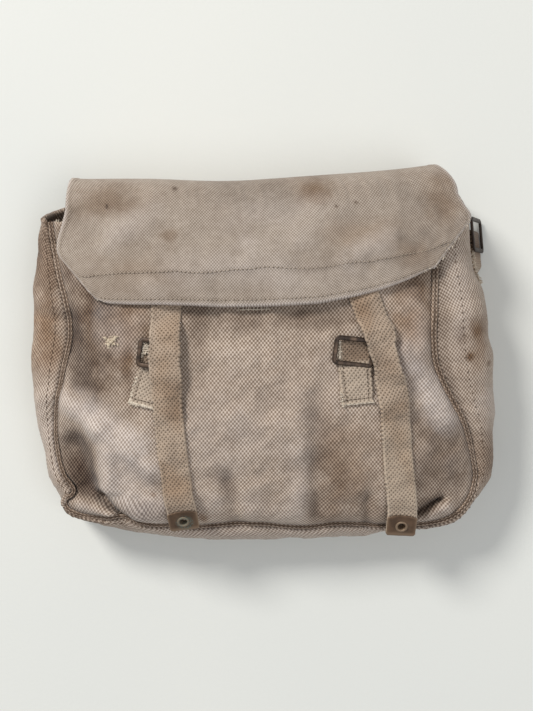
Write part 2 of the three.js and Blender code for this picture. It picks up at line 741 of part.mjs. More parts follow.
// Rectangular frame of flat bar, lying in its own XY plane with Z through its thickness.
function buckleFrame(width, height, thickness) {
  const outline = roundedRectangle(new THREE.Shape(), width, height, buckleCorner);
  const inner = [width - 2 * buckleBar, height - 2 * buckleBar];
  outline.holes.push(roundedRectangle(new THREE.Path(), inner[0], inner[1], windowCorner));
  const settings = { depth: thickness, bevelEnabled: false, curveSegments: 3 };
  return new THREE.ExtrudeGeometry(outline, settings).translate(0, 0, -thickness / 2);
}

// Front buckle lying on the end of its webbing tab, whose frayed end shows in the window.
function makeFrontBuckle(side, buckle) {
  const middle = new THREE.Vector2(buckle.across * halfWide, buckle.up * halfLong);
  const rows = 9;
  const columns = 4;
  const turned = THREE.MathUtils.degToRad(buckle.tabTurn);
  const grid = Array.from({ length: rows + 1 }, (_, i) => {
    const down = tabLength * (tabInWindow - i / rows);
    return Array.from({ length: columns + 1 }, (__, j) => {
      const across = tabWidth * (j / columns - 0.5);
      const place = new THREE.Vector2(across, down).rotateAround(new THREE.Vector2(), turned);
      place.add(middle);
      const point = new THREE.Vector3(place.x, place.y, frontHeight(place.x, place.y));
      return point.addScaledVector(frontNormal(place.x, place.y), restLift);
    });
  });
  addPiece(`${side}_buckle_tab`, clothWall(grid, webbingThickness), strapColour);

  const out = frontNormal(middle.x, middle.y);
  const across = new THREE.Vector3(1, 0, 0).projectOnPlane(out).normalize();
  const turn = THREE.MathUtils.degToRad(buckle.turn);
  across.applyAxisAngle(out, turn);
  const along = out.clone().cross(across);
  const lift = restLift + webbingThickness / 2 + gap + buckleThickness / 2;
  const place = new THREE.Vector3(middle.x, middle.y, frontHeight(middle.x, middle.y));
  place.addScaledVector(out, lift);
  const matrix = new THREE.Matrix4().makeBasis(across, along, out).setPosition(place);
  const frame = buckleFrame(buckleWidth, buckleHeight, buckleThickness).applyMatrix4(matrix);
  addPiece(`${side}_buckle`, frame, brassColour, 0.5, 0.8);
}

// Outer face of the gusset's lower half on the right side, at a place up the bag and a height.
function gussetSide(y, z) {
  const along = 4 + (y + halfLong - panelCorner) / (2 * halfLong - panelCorner);
  const bowHeight = readColumn(gussetRows, 'height', along) * bagDepth;
  const bow = readColumn(gussetRows, 'reach', along) * bagDepth;
  const foot = backSeamRadius + gussetClearance;
  const drop = Math.min(Math.max((bowHeight - z) / (bowHeight - backSeamHeight), 0), 1);
  return halfWide + foot + (bow - foot) * Math.sqrt(1 - drop * drop) + clothThickness / 2;
}

// Brace tab from the gusset's side up to the brace buckle, which leans outside it.
function makeBrace() {
  const lean = THREE.MathUtils.degToRad(braceLean);
  const turned = new THREE.Matrix4().makeRotationZ(THREE.MathUtils.degToRad(braceTurn));
  const rise = new THREE.Vector3(-Math.sin(lean), 0, Math.cos(lean)).transformDirection(turned);
  const along = new THREE.Vector3(0, 1, 0).transformDirection(turned);
  const outward = along.clone().cross(rise);
  const halfHigh = (braceBuckleWidth / 2) * Math.cos(lean) + (buckleThickness / 2) * Math.sin(lean);
  const middle = new THREE.Vector3(halfWide + braceStandoff, bracePlace * halfLong, halfHigh + 2 * gap);
  const behind = buckleThickness / 2 + gap + webbingThickness / 2;
  const lowEdge = 2 * backSeamHeight;
  const rows = 10;
  const shares = [0, 0.25, 0.5, 0.75, 1];
  const grid = Array.from({ length: rows + 1 }, (_, i) => {
    const run = braceTabLength * (i / rows - braceTabBelow);
    const onBuckle = ramp(i / rows / braceTabHug);
    return shares.map((share) => {
      const y = middle.y + run;
      const z = lowEdge + braceTabWidth * share;
      const hugging = new THREE.Vector3(gussetSide(y, z) + 4 * gap + webbingThickness / 2, y, z);
      const leaning = middle.clone().addScaledVector(along, run);
      leaning.addScaledVector(rise, braceTabWidth * (share - 0.5)).addScaledVector(outward, -behind);
      return hugging.lerp(leaning, onBuckle);
    });
  });
  addPiece('brace_tab', clothWall(grid, webbingThickness), strapColour);

  const matrix = new THREE.Matrix4().makeBasis(rise, along, outward.negate()).setPosition(middle);
  const frame = buckleFrame(braceBuckleWidth, braceBuckleHeight, buckleThickness);
  addPiece('brace_buckle', frame.applyMatrix4(matrix), brassColour, 0.5, 0.8);
}

makeFrontPanel();
makeGusset();
makeBackPanel();
makeFrontSeam();
makeFlap();
makeStrap('left', leftStrapRows, leftBuckle, leftTip);
makeStrap('right', rightStrapRows, rightBuckle, rightTip);
makeFrontBuckle('left', leftBuckle);
makeFrontBuckle('right', rightBuckle);
makeBrace();

export default haversack;
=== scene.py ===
# A small cotton-webbing haversack, lying on its back on a pale floor and seen from straight above.
# Sections follow the bag as it is put together. Tables and shapes are in millimetres, X to the
# right, Y towards the flap, Z up through the front. The meshes are in metres.
import json
import math

import bpy
import numpy as np
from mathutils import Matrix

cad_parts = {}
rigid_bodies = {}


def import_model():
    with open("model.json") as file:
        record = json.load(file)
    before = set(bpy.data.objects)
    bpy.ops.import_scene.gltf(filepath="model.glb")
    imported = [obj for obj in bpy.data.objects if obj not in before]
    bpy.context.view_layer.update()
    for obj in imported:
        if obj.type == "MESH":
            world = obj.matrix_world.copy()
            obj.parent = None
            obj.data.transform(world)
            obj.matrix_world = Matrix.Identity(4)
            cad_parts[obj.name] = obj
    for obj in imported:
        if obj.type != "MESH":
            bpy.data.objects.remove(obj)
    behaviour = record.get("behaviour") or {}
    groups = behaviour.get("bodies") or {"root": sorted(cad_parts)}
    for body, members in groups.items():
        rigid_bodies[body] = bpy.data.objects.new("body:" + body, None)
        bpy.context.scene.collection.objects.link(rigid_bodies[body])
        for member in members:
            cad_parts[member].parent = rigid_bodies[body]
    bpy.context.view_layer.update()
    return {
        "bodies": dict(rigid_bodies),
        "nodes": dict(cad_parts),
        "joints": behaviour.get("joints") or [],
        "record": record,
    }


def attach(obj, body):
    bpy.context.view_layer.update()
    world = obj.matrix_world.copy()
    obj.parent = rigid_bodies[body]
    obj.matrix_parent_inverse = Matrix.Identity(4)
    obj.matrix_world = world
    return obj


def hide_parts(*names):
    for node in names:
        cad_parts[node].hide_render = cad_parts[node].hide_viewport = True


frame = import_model()

# ---- Front panel ---------------------------------------------------------------------------------
# The bag's front is one cut of coarse cotton webbing cloth, about 2 mm thick. It is sewn to the
# gusset on three sides, stays open at the mouth, and sags and creases over what was carried.

half_wide, half_long, bag_depth = 148.0, 114.5, 75.0
cloth_thickness = 2.0

# The filled front is a crown. It ends at these shares of the bag's half sizes, where it still has
# a share of the depth. The powers say how square it is and how softly it turns down.
crown_side, crown_low, crown_high = 1.095, 1.09, 1.33
crown_edge = 0.4
crown_square, crown_soft = 3.2, 0.7

# Between the seam and the two cloths that it joins, and how the front bulges next to it.
seam_gap = 0.6
bulge_start, bulge_width, bulge_lift = 2.4, 15.0, 0.35
seam_pinch, pinch_width = 1.5, 2.2


def table(names, text):
    """Named columns of numbers, one row to a line."""
    rows = [[float(word) for word in line.split()] for line in text.strip().splitlines()]
    return dict(zip(names.split(), np.array(rows).T))


# The front seam in plan: along counts the left side (0 to 1), left corner, bottom, right corner
# and right side (4 to 5).
seam_rows = table("along x y radius", """
    0.00 -156.2  99.0 2.2
    0.12 -152.7  79.0 2.2
    0.24 -147.1  57.5 2.1
    0.36 -141.8  36.5 2.0
    0.46 -140.5  18.5 1.9
    0.57 -143.4  -0.5 1.8
    0.69 -147.3 -22.0 1.7
    0.79 -150.7 -39.5 1.6
    0.90 -151.3 -57.5 1.6
    1.00 -148.8 -73.0 1.6
    1.10 -144.6 -83.5 1.6
    1.20 -140.2 -89.6 1.6
    1.29 -138.0 -94.0 1.6
    1.37 -139.6 -97.4 1.6
    1.45 -143.4 -99.8 1.6
    1.54 -145.2 -103.2 1.6
    1.62 -143.9 -107.0 1.6
    1.72 -139.2 -110.3 1.6
    1.82 -131.4 -112.5 1.6
    1.92 -121.5 -113.6 1.6
    2.00 -112.0 -113.9 1.6
    2.05 -105.0 -112.6 1.6
    2.09 -98.6 -113.6 1.6
    2.13 -91.0 -117.2 1.6
    2.21 -72.0 -119.0 1.7
    2.32 -48.0 -120.8 1.7
    2.41 -24.0 -118.2 1.7
    2.50 -5.0 -118.4 1.7
    2.64 28.0 -121.2 1.7
    2.74 50.0 -118.6 1.7
    2.89 86.0 -120.2 1.7
    3.00 112.0 -118.6 1.8
    3.20 127.0 -116.2 1.9
    3.40 138.5 -109.8 2.0
    3.60 145.9 -99.8 2.0
    3.80 149.3 -87.3 2.0
    4.00 148.6 -75.3 2.0
    4.09 144.7 -59.4 2.1
    4.19 138.5 -43.0 2.2
    4.27 130.5 -28.5 2.2
    4.35 123.0 -14.5 2.2
    4.43 118.0 -1.5 2.4
    4.52 116.3 14.5 2.5
    4.67 117.5 41.4 2.5
    4.79 118.0 62.5 2.4
    5.00 123.0 99.5 2.3
""")

# Hollows and ridges of the front, each along a line, with its width and height.
fold_rows = table("x y to_x to_y width height", """
    -136  -64 -126  -88 11.0 -7.5
    -117  -97  -99 -108  4.0 -8.0
    -112  -66 -113  -90  7.0  3.5
    -108  -93  -76 -108 11.0  4.0
    -132 -104 -112 -109  5.0  2.5
    -145  -27 -117  -49  7.0  3.0
    -117  -49  -82  -77  8.0  3.0
    -138   26 -131  -16 10.0 -4.0
    -112   30  -96   14 14.0  2.0
      34  -27   34 -108  7.0 -2.4
     -27  -84  -22 -112  6.0 -2.4
      70  -97   71 -116  4.0 -2.2
     104 -110  124 -100  3.0 -5.0
     110 -116  128 -106  4.5  2.2
      94    7  125  -43  9.0  2.4
     100   46  108    8  9.0  1.8
     -60  -96   20 -104 12.0  1.6
     -50   34   40   30 20.0 -1.6
       8   -2   70   20 12.0  1.0
""")

# How far the stuffed panel bulges out over its seam.
bulge_rows = table("along out", """
    0.00 0.4
    1.00 0.8
    1.40 0.4
    1.85 0.6
    1.98 3.4
    2.07 5.8
    2.14 4.4
    2.22 1.6
    2.35 0.8
    2.48 2.0
    2.62 0.6
    2.74 2.4
    2.86 0.8
    2.95 2.0
    3.06 0.4
    3.50 0.4
    4.30 0.8
    5.00 0.4
""")

# Places where the cloth has dark or warm stains, or is worn pale. Some dark rows are partly stain
# and partly painted shade: the flap's shadow at the upper left (-124 50), shade under the flap's
# free edge and beside the left strap (0 30, 40 26, -46 24), and the hollows by the left seam, at
# the lower left, at the lower right and along the upright fold (-131 7, -132 -79, 122 -68, 44 -60).
# The pale rows on the ridges at the lower left and the right (-114 -50, -106 -46, 110 -18, 116 -26)
# are painted highlights as well as worn places.
front_stains_and_shading = table("x y reach_x reach_y turn dark warm pale", """
    -131    7  13 30  10 .75 .05 .00
    -132  -79  13 21   0 .66 .30 .00
     -88  -76  13  4 -38 .42 .10 .00
    -104   24  24 14   0 .10 .60 .00
    -112  -12  14 12   0 .25 .20 .00
     102   24  16 34   0 .10 .62 .00
     -78 -106  11  7   0 .55 .35 .00
    -100 -109   9  5 -30 .60 .20 .00
     -26  -90   6  8  20 .50 .10 .00
      -5  -78   4  4   0 .30 .00 .00
      36  -74   5  7   0 .32 .10 .00
      32 -104   7 12  20 .42 .10 .00
      56  -72  18 34   0 .06 .34 .00
     122  -68  22 30   0 .62 .26 .00
     112 -104  14  6  25 .60 .20 .00
       0   30  70  9   0 .20 .10 .00
      20  -30  44 26   0 .00 .08 .16
     110  -18   9 24  32 .00 .00 .60
    -114  -50  30  7 -36 .00 .00 .60
     -97  -80  17 18   0 .00 .00 .58
     -40  -60  26 40   0 .00 .00 .20
      62  -10  26 20   0 .00 .00 .16
     -79  -95 1.6 1.6  0 .30 1.0 .00
     -45 -112   3  3   0 .30 .80 .00
    -110   26  26 26   0 .34 .30 .00
     -96  -14   6 20   8 .26 .20 .00
    -124  -30  12  6 -30 .30 .10 .00
     -46   24   7 22   0 .40 .10 .00
      40   26  30  8   0 .30 .10 .00
     -70  -60  20 16   0 .16 .00 .00
      44 -100  14 16   0 .30 .20 .00
      76 -106  10 10   0 .26 .20 .00
     100   -6   7 20  20 .30 .20 .00
     104   52   9 16   0 .40 .30 .00
     -97    6   6 16   0 .16 .75 .00
    -124   50  26 12 -52 .72 .30 .00
    -140   60   6 24  14 .60 .20 .00
    -120   14  12 30   0 .40 .20 .00
    -106  -46  40  7 -36 .00 .00 .75
     116  -26  12 20  28 .00 .00 .55
     -88 -104   8  6   0 .40 .20 .00
      44  -60   8 40   4 .26 .12 .00
      24  -84   8 30   0 .00 .00 .34
     -10  -58  30 18   0 .10 .00 .20
""")


def read(rows, name, along):
    """Smooth reading of a column: cubic between the rows, with slopes from the neighbours."""
    x, y = rows["along"], rows[name]
    slope = np.gradient(y, x)
    i = np.clip(np.searchsorted(x, along) - 1, 0, len(x) - 2)
    span = x[i + 1] - x[i]
    t = np.clip((along - x[i]) / span, 0, 1)
    rest = 1 - t
    ends = (1 + 2 * t) * rest ** 2 * y[i] + (3 - 2 * t) * t ** 2 * y[i + 1]
    return ends + span * (t * rest ** 2 * slope[i] - t ** 2 * rest * slope[i + 1])


def ripple(x, y, size, seed, octaves=3):
    """Smooth irregular waves between about -1 and 1, the same on every run. Each octave sums a
    few waves in random directions, and is finer and fainter than the one before."""
    waves, finer, fainter = 6, 1.9, 1.7
    draw = np.random.default_rng(seed)
    total = np.zeros(np.broadcast(x, y).shape)
    for octave in range(octaves):
        length = size / finer ** octave
        for _ in range(waves):
            turn, phase = draw.uniform(0, 2 * math.pi, 2)
            stretch = draw.uniform(0.7, 1.4)
            away = x * math.cos(turn) + y * math.sin(turn)
            wave = np.sin(2 * math.pi * away / (length * stretch) + phase)
            total += wave / fainter ** octave / (waves / 2)
    return total


def crown(share):
    """Height of the crown at a share of its reach: 1 in the middle and 0 at its end."""
    return (1 - np.minimum(np.abs(share), 1) ** crown_square) ** crown_soft


def crown_height(x, y, reach_left, reach_right):
    """The filled front as a height over the floor: full in the middle, lower at its reach."""
    edge = crown_edge * bag_depth
    across = x / np.where(x < 0, reach_left, reach_right)
    up = y / np.where(y < 0, crown_low * half_long, crown_high * half_long)
    return edge + (bag_depth - edge) * crown(across) * crown(up)


def from_line(x, y, x0, y0, x1, y1):
    """Distance of places from a straight line between two points."""
    dx, dy = x1 - x0, y1 - y0
    t = np.clip(((x - x0) * dx + (y - y0) * dy) / (dx * dx + dy * dy), 0, 1)
    return np.hypot(x - x0 - t * dx, y - y0 - t * dy)


# The folds in the tables are made this many times as deep.
fold_depth = 1.7


def folds(rows, x, y):
    """Sum of the folds in a table, each a soft ridge or hollow along its line."""
    total = np.zeros(np.shape(x))
    for x0, y0, x1, y1, width, height in zip(*rows.values()):
        away = from_line(x, y, x0, y0, x1, y1) / width
        total += fold_depth * height * np.exp(-away ** 2)
    return total


def front_swell(x, y):
    """Broad soft swells of what the bag was filled with."""
    return 1.1 * ripple(x, y, 62, 5)


def front_height(x, y):
    """Middle of the front cloth over a place in plan."""
    reach = crown_side * half_wide
    crinkle = 0.22 * ripple(x, y, 14, 9)
    return crown_height(x, y, reach, reach) + folds(fold_rows, x, y) + front_swell(x, y) + crinkle


def front_normal(x, y):
    """Unit normal of the front, taken over a few millimetres."""
    step = 4.0
    dx = front_height(x + step, y) - front_height(x - step, y)
    dy = front_height(x, y + step) - front_height(x, y - step)
    normal = np.stack([-dx, -dy, np.full(np.shape(x), 2 * step)], axis=-1)
    return normal / np.linalg.norm(normal, axis=-1, keepdims=True)


def seam_place(along):
    """Middle of the front seam at a station along it."""
    x, y = read(seam_rows, "x", along), read(seam_rows, "y", along)
    return np.stack([x, y, front_height(x, y)], axis=-1)


def seam_inward(along):
    """Unit direction in plan from the front seam into the bag's outline."""
    step = 0.012
    run = seam_place(np.minimum(along + step, 5)) - seam_place(np.maximum(along - step, 0))
    inward = np.stack([-run[..., 1], run[..., 0], np.zeros(run.shape[:-1])], axis=-1)
    return inward / np.linalg.norm(inward, axis=-1, keepdims=True)


def evenly(line, count):
    """Points at even distances along a line of points."""
    step = np.linalg.norm(np.diff(line, axis=0), axis=1)
    run = np.concatenate([[0], np.cumsum(step)])
    places = np.linspace(0, run[-1], count)
    return np.stack([np.interp(places, run, line[:, k]) for k in range(line.shape[1])], axis=1)


def normals_of(grid):
    """Unit normals of a grid of points, from its rows and columns."""
    across = np.gradient(grid, axis=1)
    down = np.gradient(grid, axis=0)
    normal = np.cross(across, down)
    return normal / np.maximum(np.linalg.norm(normal, axis=-1, keepdims=True), 1e-9)


def cut_lengths(grid):
    """Flat measure of the cloth at each place: distances along its rows and down its columns."""
    across = np.linalg.norm(np.diff(grid, axis=1), axis=-1)
    down = np.linalg.norm(np.diff(grid, axis=0), axis=-1)
    u = np.concatenate([np.zeros((grid.shape[0], 1)), np.cumsum(across, axis=1)], axis=1)
    v = np.concatenate([np.zeros((1, grid.shape[1])), np.cumsum(down, axis=0)], axis=0)
    u -= u[:, [grid.shape[1] // 2]]
    v -= v[[grid.shape[0] // 2], :]
    return np.stack([u, v], axis=-1)


def stain_and_shade_shares(rows, x, y, seed):
    """Dark, warm and pale shares at each place of a piece, from its table of stains and painted
    light.
    """
    shares = np.zeros(np.shape(x) + (3,))
    ragged = 0.22 * ripple(x, y, 26, seed, 4)
    for x0, y0, reach_x, reach_y, turn, *amounts in zip(*rows.values()):
        c, s = math.cos(math.radians(turn)), math.sin(math.radians(turn))
        dx, dy = x - x0, y - y0
        away = np.hypot((dx * c + dy * s) / reach_x, (dy * c - dx * s) / reach_y)
        mask = np.exp(-np.maximum(away + ragged, 0) ** 2.4)
        shares = 1 - (1 - shares) * (1 - mask[..., None] * np.array(amounts))
    return shares


def relief_shade_and_dirt(wear_and_shading, relief, deep, dark_share, high, pale_share, start):
    """Darkens the hollows of a relief with painted shade and soiling, and lightens its ridges with
    painted highlights and pale rubbing. Both are full where the relief is as deep or as high as
    given."""
    dark = 1 - (1 - wear_and_shading[..., 0]) * (1 - dark_share * np.clip(-relief / deep, 0, 1))
    pale = 1 - (1 - wear_and_shading[..., 2]) * (1 - pale_share * np.clip((relief - start) / high, 0, 1))
    return np.stack([dark, wear_and_shading[..., 1], pale], axis=-1)


def new_piece(name, points, faces, uv=None, wear_and_shading=None, smooth=True):
    """A mesh object at the origin from points in millimetres."""
    mesh = bpy.data.meshes.new(name)
    mesh.from_pydata((points / 1000).tolist(), [], faces)
    if smooth:
        mesh.shade_smooth()
    if uv is not None:
        layer = mesh.uv_layers.new(name="cloth")
        corners = np.empty(len(mesh.loops), np.int32)
        mesh.loops.foreach_get("vertex_index", corners)
        layer.data.foreach_set("uv", (uv[corners] / 1000).astype(np.float32).ravel())
    if wear_and_shading is not None:
        attribute = mesh.color_attributes.new(name="wear_and_shading", type="FLOAT_COLOR", domain="POINT")
        colour = np.concatenate([wear_and_shading, np.ones((len(wear_and_shading), 1))], axis=1)
        attribute.data.foreach_set("color", colour.astype(np.float32).ravel())
    piece = bpy.data.objects.new(name, mesh)
    bpy.context.scene.collection.objects.link(piece)
    return piece


def outward(points, faces):
    """The faces of a closed body, turned over if they point into it."""
    volume = 0.0
    for count in {len(face) for face in faces}:
        corners = points[np.array([face for face in faces if len(face) == count])]
        for k in range(1, count - 1):
            sides = np.cross(corners[:, k], corners[:, k + 1])
            volume += np.einsum("ij,ij->i", corners[:, 0], sides).sum()
    return faces if volume > 0 else [face[::-1] for face in faces]


def cloth_wall(name, grid, thickness, wear_and_shading=None, uv=None):
    """A closed wall of cloth round a grid of points on its middle, with a rounded rim."""
    rows, columns = grid.shape[:2]
    normals = normals_of(grid)
    thick = np.broadcast_to(np.asarray(thickness, float), (rows, columns))[..., None] / 2
    outer, inner = grid + normals * thick, grid - normals * thick

    # Once round the edge of the grid: its first row, last column, last row and first column.
    loop = [(0, j) for j in range(columns)] + [(i, columns - 1) for i in range(1, rows)]
    loop += [(rows - 1, j) for j in range(columns - 2, -1, -1)]
    loop += [(i, 0) for i in range(rows - 2, 0, -1)]
    i, j = np.array(loop).T
    away = grid[i, j] - grid[np.clip(i, 1, rows - 2), np.clip(j, 1, columns - 2)]
    away /= np.maximum(np.linalg.norm(away, axis=1, keepdims=True), 1e-9)
    rim = grid[i, j] + away * thick[i, j]
    points = np.concatenate([outer.reshape(-1, 3), inner.reshape(-1, 3), rim])

    size = rows * columns
    number = np.arange(size).reshape(rows, columns)
    a, b, c, d = number[:-1, :-1], number[:-1, 1:], number[1:, 1:], number[1:, :-1]
    front = np.stack([a, b, c, d], axis=-1).reshape(-1, 4)
    under = np.stack([a, d, c, b], axis=-1).reshape(-1, 4) + size
    edge = i * columns + j
    after = np.roll(edge, -1)
    ring = 2 * size + np.arange(len(edge))
    ring_after = np.roll(ring, -1)
    upper = np.stack([after, edge, ring, ring_after], axis=-1)
    lower = np.stack([ring_after, ring, edge + size, after + size], axis=-1)
    faces = np.concatenate([front, under, upper, lower]).tolist()

    flat = (cut_lengths(grid) if uv is None else uv).reshape(-1, 2)
    flat = np.concatenate([flat, flat, flat[edge]])
    if wear_and_shading is not None:
        wear_and_shading = wear_and_shading.reshape(-1, 3)
        wear_and_shading = np.concatenate([wear_and_shading, wear_and_shading, wear_and_shading[edge]])
    return new_piece(name, points, outward(points, faces), flat, wear_and_shading)


class Amount:
    """A number that varies over a surface. Sums on it add Math nodes to its material."""

    def __init__(self, finish, socket):
        self.finish = finish
        self.socket = socket

    def sum(self, operation, *values):
        settings = {"operation": operation}
        return self.finish.node("ShaderNodeMath", settings, dict(enumerate(values)))

    def __add__(self, other):
        return self.sum("ADD", self, other)

    def __radd__(self, other):
        return self.sum("ADD", other, self)

    def __sub__(self, other):
        return self.sum("SUBTRACT", self, other)

    def __rsub__(self, other):
        return self.sum("SUBTRACT", other, self)

    def __mul__(self, other):
        return self.sum("MULTIPLY", self, other)

    def __rmul__(self, other):
        return self.sum("MULTIPLY", other, self)

    def wave(self):
        """Its sine, for a pattern that repeats."""
        return self.sum("SINE", self)

    def held(self):
        """Kept between 0 and 1, as the share of a blend."""
        return self.sum("MAXIMUM", self.sum("MINIMUM", self, 1.0), 0.0)

    def step(self, low, high):
        """0 below low, 1 above high and smooth between."""
        settings = {"interpolation_type": "SMOOTHSTEP"}
        values = {0: self, 1: low, 2: high}
        return self.finish.node("ShaderNodeMapRange", settings, values)


class Finish:
    """A material, put together from nodes."""

    def __init__(self, name):
        self.material = bpy.data.materials.new(name)
        self.material.use_nodes = True
        self.tree = self.material.node_tree
        self.tree.nodes.clear()

    def node(self, kind, settings=None, values=None, output=0):
        """Adds a node: its settings first, then the values or links of its sockets."""
        node = self.tree.nodes.new(kind)
        for name, value in (settings or {}).items():
            setattr(node, name, value)
        for name, value in (values or {}).items():
            if isinstance(value, Amount):
                self.tree.links.new(value.socket, node.inputs[name])
            else:
                node.inputs[name].default_value = value
        return Amount(self, node.outputs[output]) if node.outputs else None

    def noise(self, scale, detail=3.0, place=None):
        """Uneven grey, of a scale to the metre, on Object coordinates or the place given."""
        place = place or self.node("ShaderNodeTexCoord", output=3)
        values = {"Vector": place, "Scale": scale, "Detail": detail, "Roughness": 0.55}
        return self.node("ShaderNodeTexNoise", None, values)

    def wear_and_shading(self, channel):
        """A channel of the piece's marks, painted light among them: 0, 1 or 2."""
        wear_and_shading = self.node("ShaderNodeAttribute", {"attribute_name": "wear_and_shading"})
        return self.node("ShaderNodeSeparateColor", None, {0: wear_and_shading}, channel)

    def blend(self, share, first, second, kind="MIX"):
        """Mixes two colours, each a plain colour or the result of another node."""
        first, second = (c if isinstance(c, Amount) else (*c, 1) for c in (first, second))
        settings = {"data_type": "RGBA", "blend_type": kind}
        return self.node("ShaderNodeMix", settings, {0: share, 6: first, 7: second}, 2)

    def shaded(self, colour, rough, relief, depth, metal=0.0, sheen=0.0):
        """Ends the material: a shader with the colour, roughness and relief, in metres."""
        values = {"Strength": 1.0, "Distance": depth, "Height": relief}
        bump = self.node("ShaderNodeBump", None, values)
        values = {"Base Color": colour, "Roughness": rough, "Normal": bump}
        values.update({"Metallic": metal, "Sheen Weight": sheen})
        shader = self.node("ShaderNodeBsdfPrincipled", None, values)
        self.node("ShaderNodeOutputMaterial", None, {"Surface": shader})
        return self.material


def linear(red, green, blue):
    """A colour as the eye reads it, 0 to 255, in the numbers that materials use."""
    def one(value):
        value /= 255
        return value / 12.92 if value <= 0.04045 else ((value + 0.055) / 1.055) ** 2.4
    return one(red), one(green), one(blue)


# What years of use leave on cloth: grey grime all over, tea-brown stains, dirt, and a pale rub.
# The dark colour also paints shade, and the pale rub colour also paints highlights.
grime, tea_stain, dirt_and_shade = linear(150, 126, 104), linear(202, 168, 124), linear(92, 72, 56)
rubbed_and_lit_canvas = linear(218, 207, 199)


def cloth_finish(name, pale, pit, across, along, depth, pits=(-0.42, 0.55), rub_and_highlight=rubbed_and_lit_canvas):
    """Woven cloth: yarn crowns in staggered rows, paler than the pits between them. Across and
    along are the widths of a warp and a weft yarn, in metres, and depth is how far the crowns
    stand out. Pits gives where a pit turns to crown, and rub is the colour where it is worn and
    where a highlight is painted."""
    finish = Finish(name)
    flat = finish.node("ShaderNodeUVMap", {"uv_map": "cloth"})
    waver = finish.noise(26.0, 1.0, flat) * 3.0
    u, v = (finish.node("ShaderNodeSeparateXYZ", None, {0: flat}, axis) for axis in (0, 1))
    warp = (u * (math.pi / across) + waver).wave()
    weft = (v * (math.pi / along) + waver).wave()
    weave = warp * weft

    # Fine fibres, thick and thin places in the yarn, and clouds of wear.
    fibres = finish.noise(1100.0, 2.0)
    slubs = finish.noise(240.0, 2.0)
    mottle = finish.noise(34.0, 4.0)
    cloudy = (mottle - 0.5) * 1.1
    crowns = (weave + (slubs - 0.5) * 0.9).step(*pits)

    # Grime lies all over. Stains, soiling and a pale rubbing come from the piece's own colour
    # channels, which also carry painted shade, put on with the soiling, and painted highlights, put
    # on with the rubbing.
    dark, warm, pale_rub_and_highlight = (finish.wear_and_shading(channel) for channel in range(3))
    colour = finish.blend((crowns * 0.84 + fibres * 0.40 - 0.12).held(), pit, pale)
    colour = finish.blend(((mottle - 0.44) * 2.2).held() * 0.42, colour, grime, "MULTIPLY")
    colour = finish.blend((warm + cloudy * warm).held(), colour, tea_stain, "MULTIPLY")
    soiled_and_shaded = (dark + cloudy * dark - crowns * dark * 0.22).held()
    colour = finish.blend(soiled_and_shaded, colour, dirt_and_shade, "MULTIPLY")
    bleached_and_lit = (pale_rub_and_highlight * (0.30 + 0.55 * crowns) + cloudy * pale_rub_and_highlight * 0.4).held()
    colour = finish.blend(bleached_and_lit, colour, rub_and_highlight)
    relief = weave * 0.5 + fibres * 0.35
    return finish.shaded(colour, 0.98 - crowns * 0.08, relief, depth, sheen=0.10)


def finished(piece, material, slot, *nodes):
    """Gives a piece its material and fixes it to the bag, in place of the plain solids named."""
    piece.data.materials.clear()
    piece.data.materials.append(material)
    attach(piece, "root")
    if nodes:
        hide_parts(*nodes)
    return piece


canvas_yarn, canvas_pit = linear(210, 193, 176), linear(122, 102, 84)
canvas = cloth_finish("worn_canvas", canvas_yarn, canvas_pit, across=0.00127, along=0.00152,
                      depth=0.00040)

dense_seam = np.linspace(0, 5, 1400)
dense_places = seam_place(dense_seam)


def nearest_seam(x, y):
    """Distance in plan from the front seam, and the station there."""
    best = np.full(np.shape(x), 1e9)
    station = np.zeros(np.shape(x))
    for along, (px, py, _) in zip(dense_seam[::3], dense_places[::3]):
        away = np.hypot(x - px, y - py)
        closer = away < best
        best = np.where(closer, away, best)
        station = np.where(closer, along, station)
    return best, station


def panel_edge(start, end, count):
    """Plan places along the front panel's edge, just inside the seam."""
    along = np.linspace(start, end, 600)
    inset = read(seam_rows, "radius", along) + seam_gap
    line = seam_place(along) + seam_inward(along) * inset[:, None]
    return evenly(line[:, :2], count)


def patch(left, right, top, bottom):
    """Plan places stretched between four edges, then evened out."""
    v = np.linspace(0, 1, len(left))[:, None, None]
    u = np.linspace(0, 1, len(top))[None, :, None]
    sides = left[:, None] * (1 - u) + right[:, None] * u
    ends = top[None] * (1 - v) + bottom[None] * v
    top_line = top[0] * (1 - u) + top[-1] * u
    bottom_line = bottom[0] * (1 - u) + bottom[-1] * u
    places = sides + ends - top_line * (1 - v) - bottom_line * v
    for _ in range(220):
        beside = places[1:-1, :-2] + places[1:-1, 2:]
        places[1:-1, 1:-1] = (places[:-2, 1:-1] + places[2:, 1:-1] + beside) / 4
    return places


def crown_cut(x, y):
    """Flat measure of the front: lengths over the filled crown from its middle, without folds."""
    reach, steps = crown_side * half_wide, 60
    lengths = []
    for dx, dy in ((1.0, 0.0), (0.0, 1.0)):
        total = np.zeros(np.shape(x))
        before = None
        for t in np.linspace(0, 1, steps + 1):
            px, py = np.where(dx, x * t, x), np.where(dy, y * t, y)
            level = crown_height(px, py, reach, reach)
            if before is not None:
                total += np.hypot((x * dx + y * dy) / steps, level - before)
            before = level
        lengths.append(total * np.sign(x * dx + y * dy))
    return np.stack(lengths, axis=-1)


